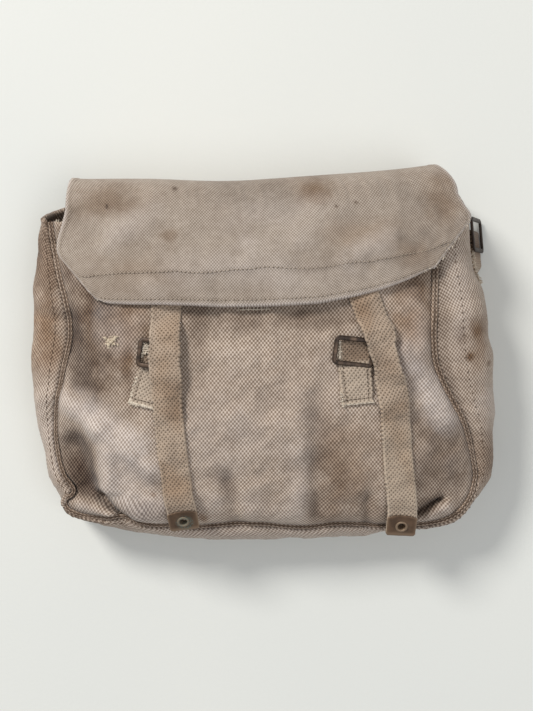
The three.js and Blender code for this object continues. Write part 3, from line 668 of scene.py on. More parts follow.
# The seam's left side and corner, its bottom, and its right corner and side bound the panel.
panel_rows, panel_columns = 150, 200
left_corner, right_corner = 1.62, 3.5
mouth_sag = 5.0
left_edge = panel_edge(0, left_corner, panel_rows)
right_edge = panel_edge(5, right_corner, panel_rows)
bottom_edge = panel_edge(left_corner, right_corner, panel_columns)
mouth_share = np.linspace(0, 1, panel_columns)[:, None]
mouth_edge = left_edge[0] * (1 - mouth_share) + right_edge[0] * mouth_share
mouth_edge[:, 1] -= mouth_sag * np.sin(math.pi * mouth_share[:, 0]) ** 0.35
plan = patch(left_edge, right_edge, mouth_edge, bottom_edge)
plan_x, plan_y = plan[..., 0], plan[..., 1]

# Next to the seam the panel is pinched down, and then it bulges out over the seam.
from_seam, station = nearest_seam(plan_x, plan_y)
past_seam = from_seam - bulge_start
bulge = read(bulge_rows, "out", station) * np.sin(math.pi * np.clip(past_seam / bulge_width, 0, 1))
height = front_height(plan_x, plan_y) + bulge_lift * bulge
height -= seam_pinch * np.exp(-(past_seam / pinch_width) ** 2)
front_grid = np.concatenate([plan, height[..., None]], axis=-1)
front_grid -= seam_inward(station) * bulge[..., None]

front_wear_and_shading = stain_and_shade_shares(front_stains_and_shading, front_grid[..., 0], front_grid[..., 1], 21)
front_relief = folds(fold_rows, plan_x, plan_y) + front_swell(plan_x, plan_y)
# The front's hollows get painted shade with soiling, and its ridges painted highlights with pale
# rubbing.
front_wear_and_shading = relief_shade_and_dirt(front_wear_and_shading, front_relief, 5.0, 0.62, 4.5, 0.55, 0.4)
# Painted shade, with some soiling, in the narrow valley of the panel beside the seam.
front_wear_and_shading[..., 0] = np.maximum(front_wear_and_shading[..., 0], 0.58 * np.exp(-(past_seam / 1.6) ** 2))
front_cut = crown_cut(plan_x, plan_y)
front_panel = cloth_wall("front_panel_cloth", front_grid, cloth_thickness, front_wear_and_shading, front_cut)
finished(front_panel, canvas, "bag_canvas", "front_panel")

# ---- Gusset --------------------------------------------------------------------------------------
# One strip of the same cloth, about 100 mm wide, boxes the left side, the bottom and the right
# side. It is sewn to the front and the back, and its ends are turned in and hemmed at the mouth.

back_seam_height = 1.8
back_seam_reach = 2.5
panel_corner = 28.0
bow_share = 0.55
mouth_length, left_mouth_drop, right_mouth_drop, mouth_round = 0.3, 11.5, 9.0, 3.2
side_length = 213.0
hem_width, hem_extra = 3.4, 2.2
gusset_slack = 1.2

# The gusset bows out between its two seams: how far, how high and how squarely, station by station.
gusset_rows = table("along reach height square", """
    0.00 .23 .36 2.0
    0.20 .28 .37 2.1
    0.46 .31 .37 2.2
    0.68 .30 .36 2.2
    0.81 .26 .35 2.1
    0.93 .18 .32 2.0
    1.12 .12 .28 2.0
    1.50 .13 .25 2.0
    2.00 .12 .24 2.0
    2.10 .18 .24 2.0
    2.63 .24 .24 2.0
    2.82 .205 .24 2.0
    2.97 .14 .25 2.0
    3.30 .11 .27 2.0
    3.63 .12 .29 2.0
    3.87 .17 .31 2.1
    4.05 .23 .33 2.2
    4.24 .24 .36 2.4
    4.40 .225 .37 2.6
    4.57 .160 .37 2.7
    4.68 .105 .37 2.7
    4.75 .050 .37 2.6
    4.81 .015 .37 2.5
    4.90 -.010 .37 2.4
    5.00 -.020 .37 2.4
""")

# Stains on the gusset. The pale row at 134 50 paints a highlight on the soft ridge down the right
# side.
gusset_stains_and_highlight = table("x y reach_x reach_y turn dark warm pale", """
    -162   66  14 26   0 .34 .42 .00
    -160   28  14 18   0 .10 .60 .00
    -158    2  14 14   0 .12 .45 .00
    -160  -56  14 34   0 .00 .00 .45
     148   21   5  7   0 .45 .85 .00
     142    2 2.6 3.0  0 .70 1.0 .00
     157   -3 1.6 2.0  0 .60 .60 .00
     136   16  3  5    0 .40 .30 .00
     150   10   6 14   0 .10 .40 .00
     158  -72  14 24   0 .42 .36 .00
     160  -34  10 16   0 .00 .00 .50
     134   50   8 40   0 .00 .00 .30
       0 -128 140  8   0 .00 .00 .35
    -120 -122  30  6 -12 .10 .30 .00
    -152  100   9  9   0 .45 .30 .00
    -160   84  14 30   0 .34 .16 .00
    -150   52   7 44   0 .30 .10 .00
""")


def back_path(along):
    """The back seam is a plain rounded rectangle: its places and the outward direction there."""
    x, y = half_wide - panel_corner, half_long - panel_corner
    side = np.where(along < 2.5, -1.0, 1.0)
    beyond = np.abs(along - 2.5) - 0.5
    angle = np.clip(beyond, 0, 1) * math.pi / 2
    out = np.stack([side * np.sin(angle), -np.cos(angle)], axis=-1)
    place = np.stack([side * x, np.full(np.shape(along), -y)], axis=-1) + out * panel_corner
    place[..., 0] = np.where(beyond < 0, (along - 2.5) * 2 * x, place[..., 0])
    place[..., 1] += np.maximum(beyond - 1, 0) * (half_long + y)
    return place, out


def gusset_place(along, v):
    """v runs from the front seam over the bow to the back seam."""
    inset = read(seam_rows, "radius", along) + seam_gap
    front = seam_place(along) - seam_inward(along) * inset[..., None]
    place, out = back_path(along)
    floor_level = np.full(np.shape(along) + (1,), back_seam_height)
    back = np.concatenate([place + out * back_seam_reach, floor_level], axis=-1)
    reach = read(gusset_rows, "reach", along)[..., None] * bag_depth
    level = read(gusset_rows, "height", along)[..., None] * bag_depth
    bow = np.concatenate([place + out * reach, level], axis=-1)

    # Towards the mouth the bow drops back, because nothing holds the cloth there.
    near_mouth = np.maximum(1 - np.minimum(along, 5 - along) / mouth_length, 0) ** 1.4
    bow[..., 1] -= np.where(along < 2.5, left_mouth_drop, right_mouth_drop) * near_mouth

    above = v <= bow_share
    angle = np.where(above, v / bow_share, (1 - v) / (1 - bow_share)) * math.pi / 2
    power = np.where(above, read(gusset_rows, "square", along), 2.0)
    toward = np.sin(angle) ** (2 / power)
    drop = np.maximum(np.cos(angle), 0) ** (2 / power)
    end = np.where(above[..., None], front, back)
    point = end + (bow - end) * toward[..., None]
    point[..., 2] = bow[..., 2] + (end[..., 2] - bow[..., 2]) * drop
    lower_half = np.clip((v - bow_share + 0.1) / (1.1 - bow_share), 0, 1)
    point[..., 1] += mouth_round * near_mouth * np.sin(math.pi * lower_half)
    return point


gusset_line = evenly(np.concatenate([dense_places[:, :2], dense_seam[:, None]], axis=1), 420)
gusset_along = gusset_line[:, 2]
along_grid, v_grid = np.meshgrid(gusset_along, np.linspace(0, 1, 44), indexing="ij")
gusset_grid = gusset_place(along_grid, v_grid)
gusset_cut = cut_lengths(gusset_grid)
gusset_run = np.linspace(0, 800, len(gusset_along))[:, None] + 0 * v_grid
creases = 0.9 * ripple(gusset_run, 60 * v_grid, 60, 31) - gusset_slack
creases += 0.16 * ripple(gusset_run, 110 * v_grid, 15, 33)

# Its normals are turned outwards by one place that faces up.
gusset_outside = normals_of(gusset_grid)
gusset_outside *= np.sign(gusset_outside[200, 10, 2])
gusset_grid += gusset_outside * (creases * np.sin(math.pi * v_grid) ** 0.8)[..., None]
from_mouth = np.minimum(gusset_along, 5 - gusset_along)[:, None] * side_length
hem = hem_extra * np.exp(-(from_mouth / hem_width) ** 4) + 0 * v_grid
gusset_wear_and_shading = stain_and_shade_shares(gusset_stains_and_highlight, gusset_grid[..., 0], gusset_grid[..., 1], 41)
# Painted shade, with some soiling, along the gusset's edge in the valley beside the front seam.
gusset_wear_and_shading[..., 0] = np.maximum(gusset_wear_and_shading[..., 0], 0.5 * np.exp(-(v_grid / 0.025) ** 2))
gusset = cloth_wall("gusset_cloth", gusset_grid, cloth_thickness + hem, gusset_wear_and_shading, gusset_cut)
finished(gusset, canvas, "bag_canvas", "gusset")

# ---- Back panel and back seam --------------------------------------------------------------------
# The back is a plain flat cut of the same cloth, which the bag lies on. A narrow turned seam joins
# it to the gusset.

back_inset = 1.9
back_seam_radius = 1.6
back_along = np.linspace(0, 5, 241)
back_line, back_out = back_path(back_along)
back_edge = back_line - back_out * back_inset
left_back = evenly(back_edge[back_along <= 1.5], 60)
right_back = evenly(back_edge[back_along >= 3.5][::-1], 60)
low_back = evenly(back_edge[(back_along >= 1.5) & (back_along <= 3.5)], 80)
across_back = np.linspace(0, 1, 80)[:, None]
top_back = left_back[0] * (1 - across_back) + right_back[0] * across_back
back_plan = patch(left_back, right_back, top_back, low_back)
back_height = np.full(back_plan.shape[:2] + (1,), cloth_thickness / 2)
back_grid = np.concatenate([back_plan, back_height], axis=-1)
back_dirt = 0.3 + 0.2 * ripple(back_grid[..., 0], back_grid[..., 1], 70, 55)
back_wear = np.stack([back_dirt * 0.6, back_dirt * 0.5, 0 * back_dirt], axis=-1).clip(0, 1)
back_panel = cloth_wall("back_panel_cloth", back_grid, cloth_thickness, back_wear)
finished(back_panel, canvas, "bag_canvas", "back_panel")


def seam_cord(name, places, outward_dir, radius, groove, sides=16):
    """A round seam along a line of places. A groove runs along its top, where it is stitched."""
    run = np.gradient(places, axis=0)
    run /= np.linalg.norm(run, axis=1, keepdims=True)
    across = outward_dir / np.linalg.norm(outward_dir, axis=1, keepdims=True)
    up = np.cross(across, run)
    up *= np.sign(up[:, 2:])
    angle = np.arange(sides) / sides * 2 * math.pi
    from_top = angle - math.pi / 2
    valley_width, shade_width = 0.30, 0.42
    valley = 1 - groove * np.exp(-(from_top / valley_width) ** 2)
    cos, sin = np.cos(angle)[None, :, None], np.sin(angle)[None, :, None]
    reach = np.asarray(radius)[:, None, None] * valley[None, :, None]
    grid = places[:, None] + (across[:, None] * cos + up[:, None] * sin) * reach

    count = len(places)
    points = np.concatenate([grid.reshape(-1, 3), places[:1], places[-1:]])
    number = np.arange(count * sides).reshape(count, sides)
    after = np.roll(number, -1, axis=1)
    faces = np.stack([number[:-1], after[:-1], after[1:], number[1:]], axis=-1).reshape(-1, 4)
    faces = faces.tolist()
    faces += [[count * sides, after[0, k], number[0, k]] for k in range(sides)]
    faces += [[count * sides + 1, number[-1, k], after[-1, k]] for k in range(sides)]

    # The measure round the cord is that of a cord 2.3 mm in radius, so that the weave fits it.
    length = np.concatenate([[0], np.cumsum(np.linalg.norm(np.diff(places, axis=0), axis=1))])
    flat = np.stack(np.broadcast_arrays(angle[None] * 2.3, length[:, None]), axis=-1)
    flat = flat.reshape(-1, 2)
    flat = np.concatenate([flat, flat[:1], flat[-1:]])
    # Painted shade: the cord is darker in its stitched groove along the top, and darker still over
    # its sides and underside, with a faint warm tone.
    dark = 0.10 + 0.8 * np.exp(-(from_top / shade_width) ** 2) + 0.55 * (np.sin(angle) < 0.45)
    wear_and_shading = np.stack([dark.clip(0, 1), np.full(sides, 0.25), np.zeros(sides)], axis=-1)
    wear_and_shading = np.concatenate([np.tile(wear_and_shading, (count, 1)), np.zeros((2, 3))])
    return new_piece(name, points, outward(points, faces), flat, wear_and_shading)


flat_out = np.concatenate([back_out, np.zeros((len(back_out), 1))], axis=1)
back_level = np.full((len(back_line), 1), back_seam_height)
back_places = np.concatenate([back_line, back_level], axis=1)
back_radius = np.full(len(back_line), back_seam_radius)
back_seam = seam_cord("back_seam_welt", back_places, flat_out, back_radius, 0.0, 12)
finished(back_seam, canvas, "bag_canvas", "back_seam")

# ---- Front seam ----------------------------------------------------------------------------------
# Panel and gusset are turned together into a raised seam, sewn through twice, so two soft ridges
# run side by side with a dark line of thread between them.

seam_groove = 0.34
seam_line = evenly(np.concatenate([dense_places, dense_seam[:, None]], axis=1), 620)
seam_points, seam_along = seam_line[:, :3], seam_line[:, 3]
seam_out = -seam_inward(seam_along)
seam_lumps = 1 + 0.06 * ripple(np.linspace(0, 800, len(seam_line)), 0, 9, 61)
seam_size = read(seam_rows, "radius", seam_along) * seam_lumps
front_seam = seam_cord("front_seam_welt", seam_points, seam_out, seam_size, seam_groove, 18)
finished(front_seam, canvas, "bag_canvas", "front_seam")


def new_tree(name, **inputs):
    """A tree of geometry nodes on a line, with named inputs, each a kind of socket and a value.
    It returns the tree, its inputs, and the function that adds its nodes."""
    tree = bpy.data.node_groups.new(name, "GeometryNodeTree")
    tree.interface.new_socket("Line", in_out="INPUT", socket_type="NodeSocketGeometry")
    for label, (kind, value) in inputs.items():
        socket = tree.interface.new_socket(label, in_out="INPUT", socket_type="NodeSocket" + kind)
        if value is not None:
            socket.default_value = value
    tree.interface.new_socket("Threads", in_out="OUTPUT", socket_type="NodeSocketGeometry")
    given = tree.nodes.new("NodeGroupInput")

    def add(kind, settings=None, **links):
        """Adds a node and sets or links its sockets, by name or by number after an underscore."""
        node = tree.nodes.new(kind)
        for label, value in (settings or {}).items():
            setattr(node, label, value)
        for label, value in links.items():
            socket = node.inputs[int(label[1:])] if label[0] == "_" else node.inputs[label]
            if isinstance(value, bpy.types.NodeSocket):
                tree.links.new(value, socket)
            else:
                socket.default_value = value
        return node

    return tree, given.outputs, add


def vector_sum(add, operation, *values, **named):
    """A sum on vectors, from a Vector Math node."""
    numbered = {f"_{k}": value for k, value in enumerate(values)}
    return add("ShaderNodeVectorMath", {"operation": operation}, **numbered, **named).outputs[0]


def random_shift(add, given):
    """A random vector for each point, of up to 1 along each axis, and the same times Waver."""
    vector = {"data_type": "FLOAT_VECTOR"}
    one = (1, 1, 1)
    node = add("FunctionNodeRandomValue", vector, _0=(-1, -1, -1), _1=one, Seed=given["Seed"])
    return node.outputs[0], vector_sum(add, "SCALE", node.outputs[0], Scale=given["Waver"])


def points_on(add, given, step):
    """Points at even steps along the line."""
    curve = add("GeometryNodeMeshToCurve", _0=given["Line"]).outputs[0]
    length = {"mode": "LENGTH"}
    return add("GeometryNodeResampleCurve", length, Curve=curve, Length=step).outputs[0]


def copies(tree, add, given, points, shape, turn, size):
    """Puts a shape on every point, makes all of them one mesh and gives it the thread."""
    place = {"Points": points, "Instance": shape, "Rotation": turn, "Scale": size}
    placed = add("GeometryNodeInstanceOnPoints", **place).outputs[0]
    solid = add("GeometryNodeRealizeInstances", _0=placed).outputs[0]
    smooth = add("GeometryNodeSetShadeSmooth", _0=solid).outputs[0]
    done = add("GeometryNodeSetMaterial", _0=smooth, Material=given["Thread"]).outputs[0]
    result = tree.nodes.new("NodeGroupOutput")
    tree.links.new(done, result.inputs[0])
    return tree


def stitch_tree():
    """Lays one rounded stitch after another along a line."""
    tree, given, add = new_tree(
        "stitches", Pitch=("Float", 0.003), Length=("Float", 0.002), Thickness=("Float", 0.0004),
        Waver=("Float", 0.2), Seed=("Int", 1), Thread=("Material", None))
    points = points_on(add, given, given["Pitch"])
    tangent = add("GeometryNodeInputTangent").outputs[0]
    _, shift = random_shift(add, given)
    aim = vector_sum(add, "ADD", tangent, shift)
    turn = add("FunctionNodeAlignRotationToVector", {"axis": "Z"}, Vector=aim).outputs[0]
    half = add("ShaderNodeMath", {"operation": "MULTIPLY"}, _0=given["Length"], _1=0.5).outputs[0]
    thick = given["Thickness"]
    size = add("ShaderNodeCombineXYZ", _0=thick, _1=thick, _2=half).outputs[0]
    grown = vector_sum(add, "MULTIPLY_ADD", shift, size, size)
    bead = add("GeometryNodeMeshUVSphere", Segments=8, Rings=6, Radius=1.0).outputs[0]
    return copies(tree, add, given, points, bead, turn, grown)


def fray_tree():
    """Stands short bent strands of yarn along a line, leaning one way with some disorder."""
    tree, given, add = new_tree(
        "frayed_yarn", Spacing=("Float", 0.001), Length=("Float", 0.003),
        Thickness=("Float", 0.0003), Waver=("Float", 0.6), Lean=("Vector", None),
        Seed=("Int", 1), Thread=("Material", None))
    points = points_on(add, given, given["Spacing"])
    disorder, shift = random_shift(add, given)
    aim = vector_sum(add, "ADD", given["Lean"], shift)
    turn = add("FunctionNodeAlignRotationToVector", {"axis": "Z"}, Vector=aim).outputs[0]
    spin = vector_sum(add, "MULTIPLY", disorder, (0, 0, math.pi))
    local = {"rotation_space": "LOCAL"}
    turned = add("FunctionNodeRotateRotation", local, _0=turn, _1=spin).outputs[0]
    bend = {"Start": (0, 0, 0), "Middle": (0.5, 0, 0.4), "End": (0.1, 0.25, 0.9)}
    bent = add("GeometryNodeCurveQuadraticBezier", Resolution=5, **bend).outputs[0]
    share = {"operation": "DIVIDE"}
    radius = add("ShaderNodeMath", share, _0=given["Thickness"], _1=given["Length"]).outputs[0]
    ring = add("GeometryNodeCurvePrimitiveCircle", Resolution=5, Radius=radius).outputs[0]
    strand = add("GeometryNodeCurveToMesh", Curve=bent, _1=ring, **{"Fill Caps": True}).outputs[0]
    number = {"data_type": "FLOAT"}
    amount = add("FunctionNodeRandomValue", number, _2=0.45, _3=1.25, Seed=given["Seed"])
    product = {"operation": "MULTIPLY"}
    size = add("ShaderNodeMath", product, _0=amount.outputs[1], _1=given["Length"]).outputs[0]
    return copies(tree, add, given, points, strand, turned, size)


stitches = stitch_tree()
frayed_yarn = fray_tree()


def settle(piece):
    """Makes the result of a piece's modifiers its own mesh."""
    depsgraph = bpy.context.evaluated_depsgraph_get()
    mesh = bpy.data.meshes.new_from_object(piece.evaluated_get(depsgraph))
    piece.modifiers.clear()
    piece.data = mesh


def laid(name, lines, tree, material, slot, **sizes):
    """Runs a tree of geometry nodes along lines of points and keeps the mesh that it makes."""
    edges, start = [], 0
    for line in lines:
        edges += [(start + k, start + k + 1) for k in range(len(line) - 1)]
        start += len(line)
    mesh = bpy.data.meshes.new(name)
    mesh.from_pydata((np.concatenate(lines) / 1000).tolist(), edges, [])
    piece = bpy.data.objects.new(name, mesh)
    bpy.context.scene.collection.objects.link(piece)
    modifier = piece.modifiers.new("threads", "NODES")
    modifier.node_group = tree
    sizes["Thread"] = material
    for item in tree.interface.items_tree:
        if item.in_out == "INPUT" and item.name in sizes:
            modifier[item.identifier] = sizes[item.name]
    settle(piece)
    piece.data.polygons.foreach_set("material_index", [0] * len(piece.data.polygons))
    return finished(piece, material, slot)


def thread_finish(name, colour):
    """Twisted cotton thread, fuzzy and a little uneven in colour."""
    finish = Finish(name)
    fuzz = finish.noise(2600.0, 2.0)
    darker, paler = (tuple(min(1.0, share * c) for c in colour) for share in (0.7, 1.2))
    tone = finish.blend(fuzz, darker, paler)
    return finish.shaded(tone, 0.96 - fuzz * 0.05, fuzz, 0.0002)


dark_thread = thread_finish("dark_thread", linear(78, 60, 44))
pale_thread = thread_finish("pale_thread", linear(214, 201, 182))
dull_thread = thread_finish("dull_thread", linear(172, 157, 140))
darn_yarn = thread_finish("darn_yarn", linear(200, 184, 160))
needle_hole = thread_finish("needle_hole", linear(92, 76, 62))

# Thread lies in the seam's groove, and the panel's raw edge frays at the left of the mouth.
groove_line = seam_points + np.array([0, 0, 1.0]) * (0.70 * seam_size)[:, None]
ragged = [front_grid[0, 2:26], front_grid[1, 3:22]]
laid("mouth_frayed_yarn", ragged, frayed_yarn, pale_thread, "bag_canvas", Seed=7,
     Spacing=0.0007, Length=0.0024, Thickness=0.00028, Waver=0.6, Lean=(0, 0.8, 0.4))
laid("front_seam_stitching", [groove_line], stitches, dark_thread, "bag_canvas", Seed=3,
     Pitch=0.0031, Length=0.0027, Thickness=0.00034, Waver=0.05)


def on_front(x, y, lift=0.0):
    """Places on the outer face of the front cloth."""
    x, y = np.asarray(x, float), np.asarray(y, float)
    return np.stack([x, y, front_height(x, y) + cloth_thickness / 2 + lift], axis=-1)


# A darn of lumpy pale yarn closes a worn spot on the left: short bowed strokes out from its middle.
darn_x, darn_y, darn_flat = -107.4, 12.6, 0.8
draw = np.random.default_rng(17)
darn = []
for k in range(15):
    turn, reach = 2 * math.pi * k / 7 + draw.normal(0, 0.25), draw.uniform(2.6, 6.4)
    t = np.linspace(1.2, reach, 7)
    bow = 0.5 * np.sin(t * 1.3)
    x = darn_x + t * math.cos(turn) - bow * math.sin(turn)
    y = darn_y + darn_flat * (t * math.sin(turn) + bow * math.cos(turn))
    darn.append(on_front(x, y, 0.3 + 0.5 * np.sin(math.pi * t / reach)))
laid("darn", darn, stitches, darn_yarn, "bag_canvas", Seed=18,
     Pitch=0.0021, Length=0.0021, Thickness=0.00095, Waver=0.75)

# A row of bar stitches, with a run of thread along its foot, shows just under the flap's edge.
bars_left, bars_right, bars_y, bar_pitch = -18.6, 2.0, 35.6, 3.1
bars = []
for k in range(7):
    x, t = bars_left + bar_pitch * k + draw.normal(0, 0.3), np.linspace(-1.9, 2.1, 7)
    bars.append(on_front(x + 0.12 * t, bars_y + t, 0.2 + 0.25 * np.cos(t)))
foot_x = np.linspace(bars_left + 0.6, bars_right, 12)
bars.append(on_front(foot_x, bars_y + np.linspace(-1.7, -1.2, 12), 0.15))
laid("bar_stitches", bars, stitches, pale_thread, "bag_canvas", Seed=19,
     Pitch=0.0009, Length=0.0014, Thickness=0.00034, Waver=0.06)

# Single lines of thread run down both sides of the gusset, a few millimetres from the front seam.
gusset_outer = gusset_grid + gusset_outside * (cloth_thickness / 2 + 0.05)
left_side_run, right_side_run = gusset_outer[6:150, 4], gusset_outer[-150:-14, 5]
laid("gusset_side_stitching", [left_side_run], stitches, dark_thread, "bag_canvas", Seed=5,
     Pitch=0.0046, Length=0.0030, Thickness=0.00030, Waver=0.12)
laid("gusset_right_stitching", [right_side_run], stitches, dark_thread, "bag_canvas", Seed=6,
     Pitch=0.0052, Length=0.0016, Thickness=0.00034, Waver=0.2)

# ---- Flap ----------------------------------------------------------------------------------------
# The flap comes up from the back over the mouth. It is a stiffer, doubled cut of cloth with two cut
# corners, its free edge faced inside for 24 mm, sewn down in one line and edge-stitched all round.

flap_thickness = 2.4
flap_clearance = 2.9
fold_height = 0.56 * bag_depth
fold_fullness = 0.6
facing_depth = 24.0
edge_stitch = 3.6
flap_crown_left, flap_crown_right = 1.12 * half_wide, 1.21 * half_wide
free_edge_left, free_edge_right = 42.2, 63.9
top_dip, top_dip_x, top_dip_width = 2.6, -30.0, 44.0

# Courses across the flap from the back seam to the free edge: the places of its two side edges
# and how much of the free edge's curve each one has.
flap_rows = table("along left_x left_y right_x right_y bend", """
    -2.00 -140.0 114.9 140.0 114.9 0.00
    -1.00 -139.3 128.9 120.4 138.5 0.28
     0.00 -141.4 105.1 133.7 116.5 0.46
     0.35 -144.3  93.0 138.7 107.4 0.52
     0.60 -147.4  81.5 142.6 100.6 0.58
     0.67 -147.6  77.0 142.4  97.9 0.60
     0.74 -145.6  72.6 139.9  94.2 0.64
     0.86 -135.6  61.2 130.2  81.8 0.80
     0.97 -121.6  45.4 118.2  66.4 0.97
     1.00 -118.2  42.2 116.0  63.9 1.00
""")

# The free edge in plan, and the straight line between its ends that it hangs below.
free_edge = table("along y", """
    0.00 42.2
    0.03 39.6
    0.07 38.7
    0.14 38.2
    0.26 37.7
    0.37 36.7
    0.49 37.0
    0.60 38.2
    0.66 39.2
    0.71 41.4
    0.77 44.2
    0.84 48.6
    0.89 52.6
    0.94 57.4
    0.98 61.9
    1.00 63.9
""")

flap_folds = table("x y to_x to_y width height", """
     -24 118   20 108 12.0 -2.2
      34 112   24  82 9.0  1.2
    -112  78  -80 104 9.0  1.3
    -134 100 -118  84 8.0 -1.0
     -60  62  -20  60 16.0  0.8
      56  66   84  84 9.0  1.2
      46  80   62  96 8.0 -1.0
      88 118  120 104 10.0 -1.0
      94  82  104  78 4.0 -1.0
      56  70   60  66 4.0 -0.9
     112  86  116  82 4.0 -0.9
     -80  50  -76  40 7.0  0.8
     -36  50  -33  38 7.0 -0.8
      10  52   12  38 9.0  0.8
      70  66   74  48 7.0 -0.8
""")

flap_stains = table("x y reach_x reach_y turn dark warm pale", """
      34 118  13  9   0 .22 .55 .00
    -112 112  26 12   0 .14 .34 .00
     -64 118 1.6 1.4  0 .70 .30 .00
    -111 106 0.9 0.9  0 1.0 .00 .00
     123 112  12 18   0 .12 .42 .00
      62  87  22 10   0 .06 .34 .00
     -12  80   9  6   0 .00 .00 .40
     -67  85   6 3.5  0 .16 .34 .00
     -90  60  30 12   0 .00 .24 .00
      10 100  40 14   0 .00 .00 .24
      20  56  60 10   0 .00 .00 .18
     100  74  16 10   0 .05 .26 .00
      48 105 1.2 1.2  0 .80 .40 .00
      62 108 1.4 1.0  0 .60 .30 .00
""")


def flap_plan(along, s):
    """Plan places: along runs from the back (-2) over the fold to the free edge (1), s across."""
    left = np.stack([read(flap_rows, "left_x", along), read(flap_rows, "left_y", along)], axis=-1)
    right = [read(flap_rows, "right_x", along), read(flap_rows, "right_y", along)]
    point = left + (np.stack(right, axis=-1) - left) * s[..., None]
    from_middle = (point[..., 0] - top_dip_x) / top_dip_width
    point[..., 1] -= top_dip * np.exp(-from_middle ** 2) * np.exp(-((along + 0.9) / 0.6) ** 2)
    straight = free_edge_left + (free_edge_right - free_edge_left) * s
    point[..., 1] -= (straight - read(free_edge, "y", s)) * read(flap_rows, "bend", along)
    return point


def flap_swell(x, y):
    """Broad soft waves of the flap."""
    return 0.7 * ripple(x, y, 70, 71)


def flap_height(x, y):
    """Middle of the flap over the front, with room for the straps under it."""
    lift = cloth_thickness / 2 + flap_clearance + flap_thickness / 2
    crowned = crown_height(x, y, flap_crown_left, flap_crown_right) + lift
    return crowned + folds(flap_folds, x, y) + flap_swell(x, y) + 0.14 * ripple(x, y, 16, 73)


def flap_over_front(along, s):
    """The flap's middle where it lies on the front."""
    plan = flap_plan(along, s)
    return np.concatenate([plan, flap_height(plan[..., 0], plan[..., 1])[..., None]], axis=-1)


def bend_between(points, t):
    """A cubic curve on four control points."""
    a, b, c, d = points
    t = t[..., None]
    return a * (1 - t) ** 3 + 3 * b * t * (1 - t) ** 2 + 3 * c * t ** 2 * (1 - t) + d * t ** 3


def flap_place(along, s):
    """Over the front it lies on the crown. Behind, it turns down round the fold to the back."""
    zero = np.zeros(np.shape(s))
    back = np.concatenate([flap_plan(zero - 2, s), (zero + flap_thickness / 2)[..., None]], -1)
    fold = np.concatenate([flap_plan(zero - 1, s), (zero + fold_height)[..., None]], axis=-1)
    shoulder = flap_over_front(zero, s)
    beyond = flap_over_front(zero + 0.05, s)
    slope = (beyond[..., 2:] - shoulder[..., 2:]) / (beyond[..., 1:2] - shoulder[..., 1:2])
    y_axis, z_axis = np.array([0.0, 1.0, 0.0]), np.array([0.0, 0.0, 1.0])
    out = fold_fullness * (fold - back)[..., 1:2] * y_axis
    rise = fold_fullness * (fold - back)[..., 2:3] * z_axis
    behind = bend_between((back, back + out, fold - rise, fold), np.clip(along + 2, 0, 1))
    out = fold_fullness * (fold - shoulder)[..., 1:2]
    over = shoulder + out * y_axis + out * slope * z_axis
    rise = fold_fullness * (shoulder - fold)[..., 2:3] * z_axis
    above = bend_between((fold, fold + rise, over, shoulder), np.clip(along + 1, 0, 1))
    bent = np.where((along < -1)[..., None], behind, above)
    return np.where((along < 0)[..., None], bent, flap_over_front(np.maximum(along, 0), s))


# Rows behind the fold, rows from the fold to the front, and rows over the front.
behind_rows, over_rows, lying_rows = 25, 25, 62
flap_along = np.concatenate([
    np.linspace(-2, -1, behind_rows, endpoint=False),
    np.linspace(-1, 0, over_rows, endpoint=False),
    np.linspace(0, 1, lying_rows)])
flap_along_grid, flap_s_grid = np.meshgrid(flap_along, np.linspace(0, 1, 200), indexing="ij")
flap_grid = flap_place(flap_along_grid, flap_s_grid)
flap_cut = cut_lengths(flap_grid)
from_free = flap_cut[-1:, :, 1] - flap_cut[..., 1]
from_left = flap_cut[..., 0] - flap_cut[:, :1, 0]
from_right = flap_cut[:, -1:, 0] - flap_cut[..., 0]
from_edge = np.minimum(np.minimum(from_free, from_left), from_right)

# Two rows of stitches pull grooves into the flap, and inside the first one the cloth is doubled.
from_facing = from_free - 1.2 * ripple(flap_cut[..., 0], 0, 90, 81)
stitch_groove = 0.55 * np.exp(-((from_facing - facing_depth) / 1.3) ** 2)
stitch_groove += 0.40 * np.exp(-((from_edge - edge_stitch) / 1.1) ** 2)
doubled = 0.5 / (1 + np.exp((from_free - facing_depth) / 0.8))
flap_grid += normals_of(flap_grid) * (doubled - stitch_groove)[..., None]
flap_x, flap_y = flap_grid[..., 0], flap_grid[..., 1]
flap_wear_and_shading = stain_and_shade_shares(flap_stains, flap_x, flap_y, 91)
flap_wear_and_shading[..., 0] = np.maximum(flap_wear_and_shading[..., 0], 0.45 * stitch_groove)
flap_wear_and_shading[..., 2] = np.maximum(flap_wear_and_shading[..., 2], 0.75 * np.exp(-(from_edge / 1.4) ** 2))
flap_relief = folds(flap_folds, flap_x, flap_y) + flap_swell(flap_x, flap_y)
# The flap's hollows get painted shade with soiling, and its ridges painted highlights with pale
# rubbing.
flap_wear_and_shading = relief_shade_and_dirt(flap_wear_and_shading, flap_relief, 3.0, 0.26, 3.0, 0.40, 0.2)
flap_wall = flap_thickness + 0.5 * np.exp(-(from_edge / 2.6) ** 2)

flap_yarn, flap_pit = linear(184, 171, 157), linear(128, 113, 98)
flap_canvas = cloth_finish("flap_canvas", flap_yarn, flap_pit, across=0.00104, along=0.00114,
                           depth=0.00022)
flap = cloth_wall("flap_cloth", flap_grid, flap_wall, flap_wear_and_shading)
finished(flap, flap_canvas, "flap_canvas", "flap")


def line_at(grid, measure, level):
    """The line where a measure that falls from row to row has a given value. The grid has its
    rows in the same order, and the line crosses its columns."""
    columns = []
    for j in range(grid.shape[1]):
        rising = measure[::-1, j]
        columns.append([np.interp(level, rising, grid[::-1, j, k]) for k in range(3)])
    return np.array(columns)


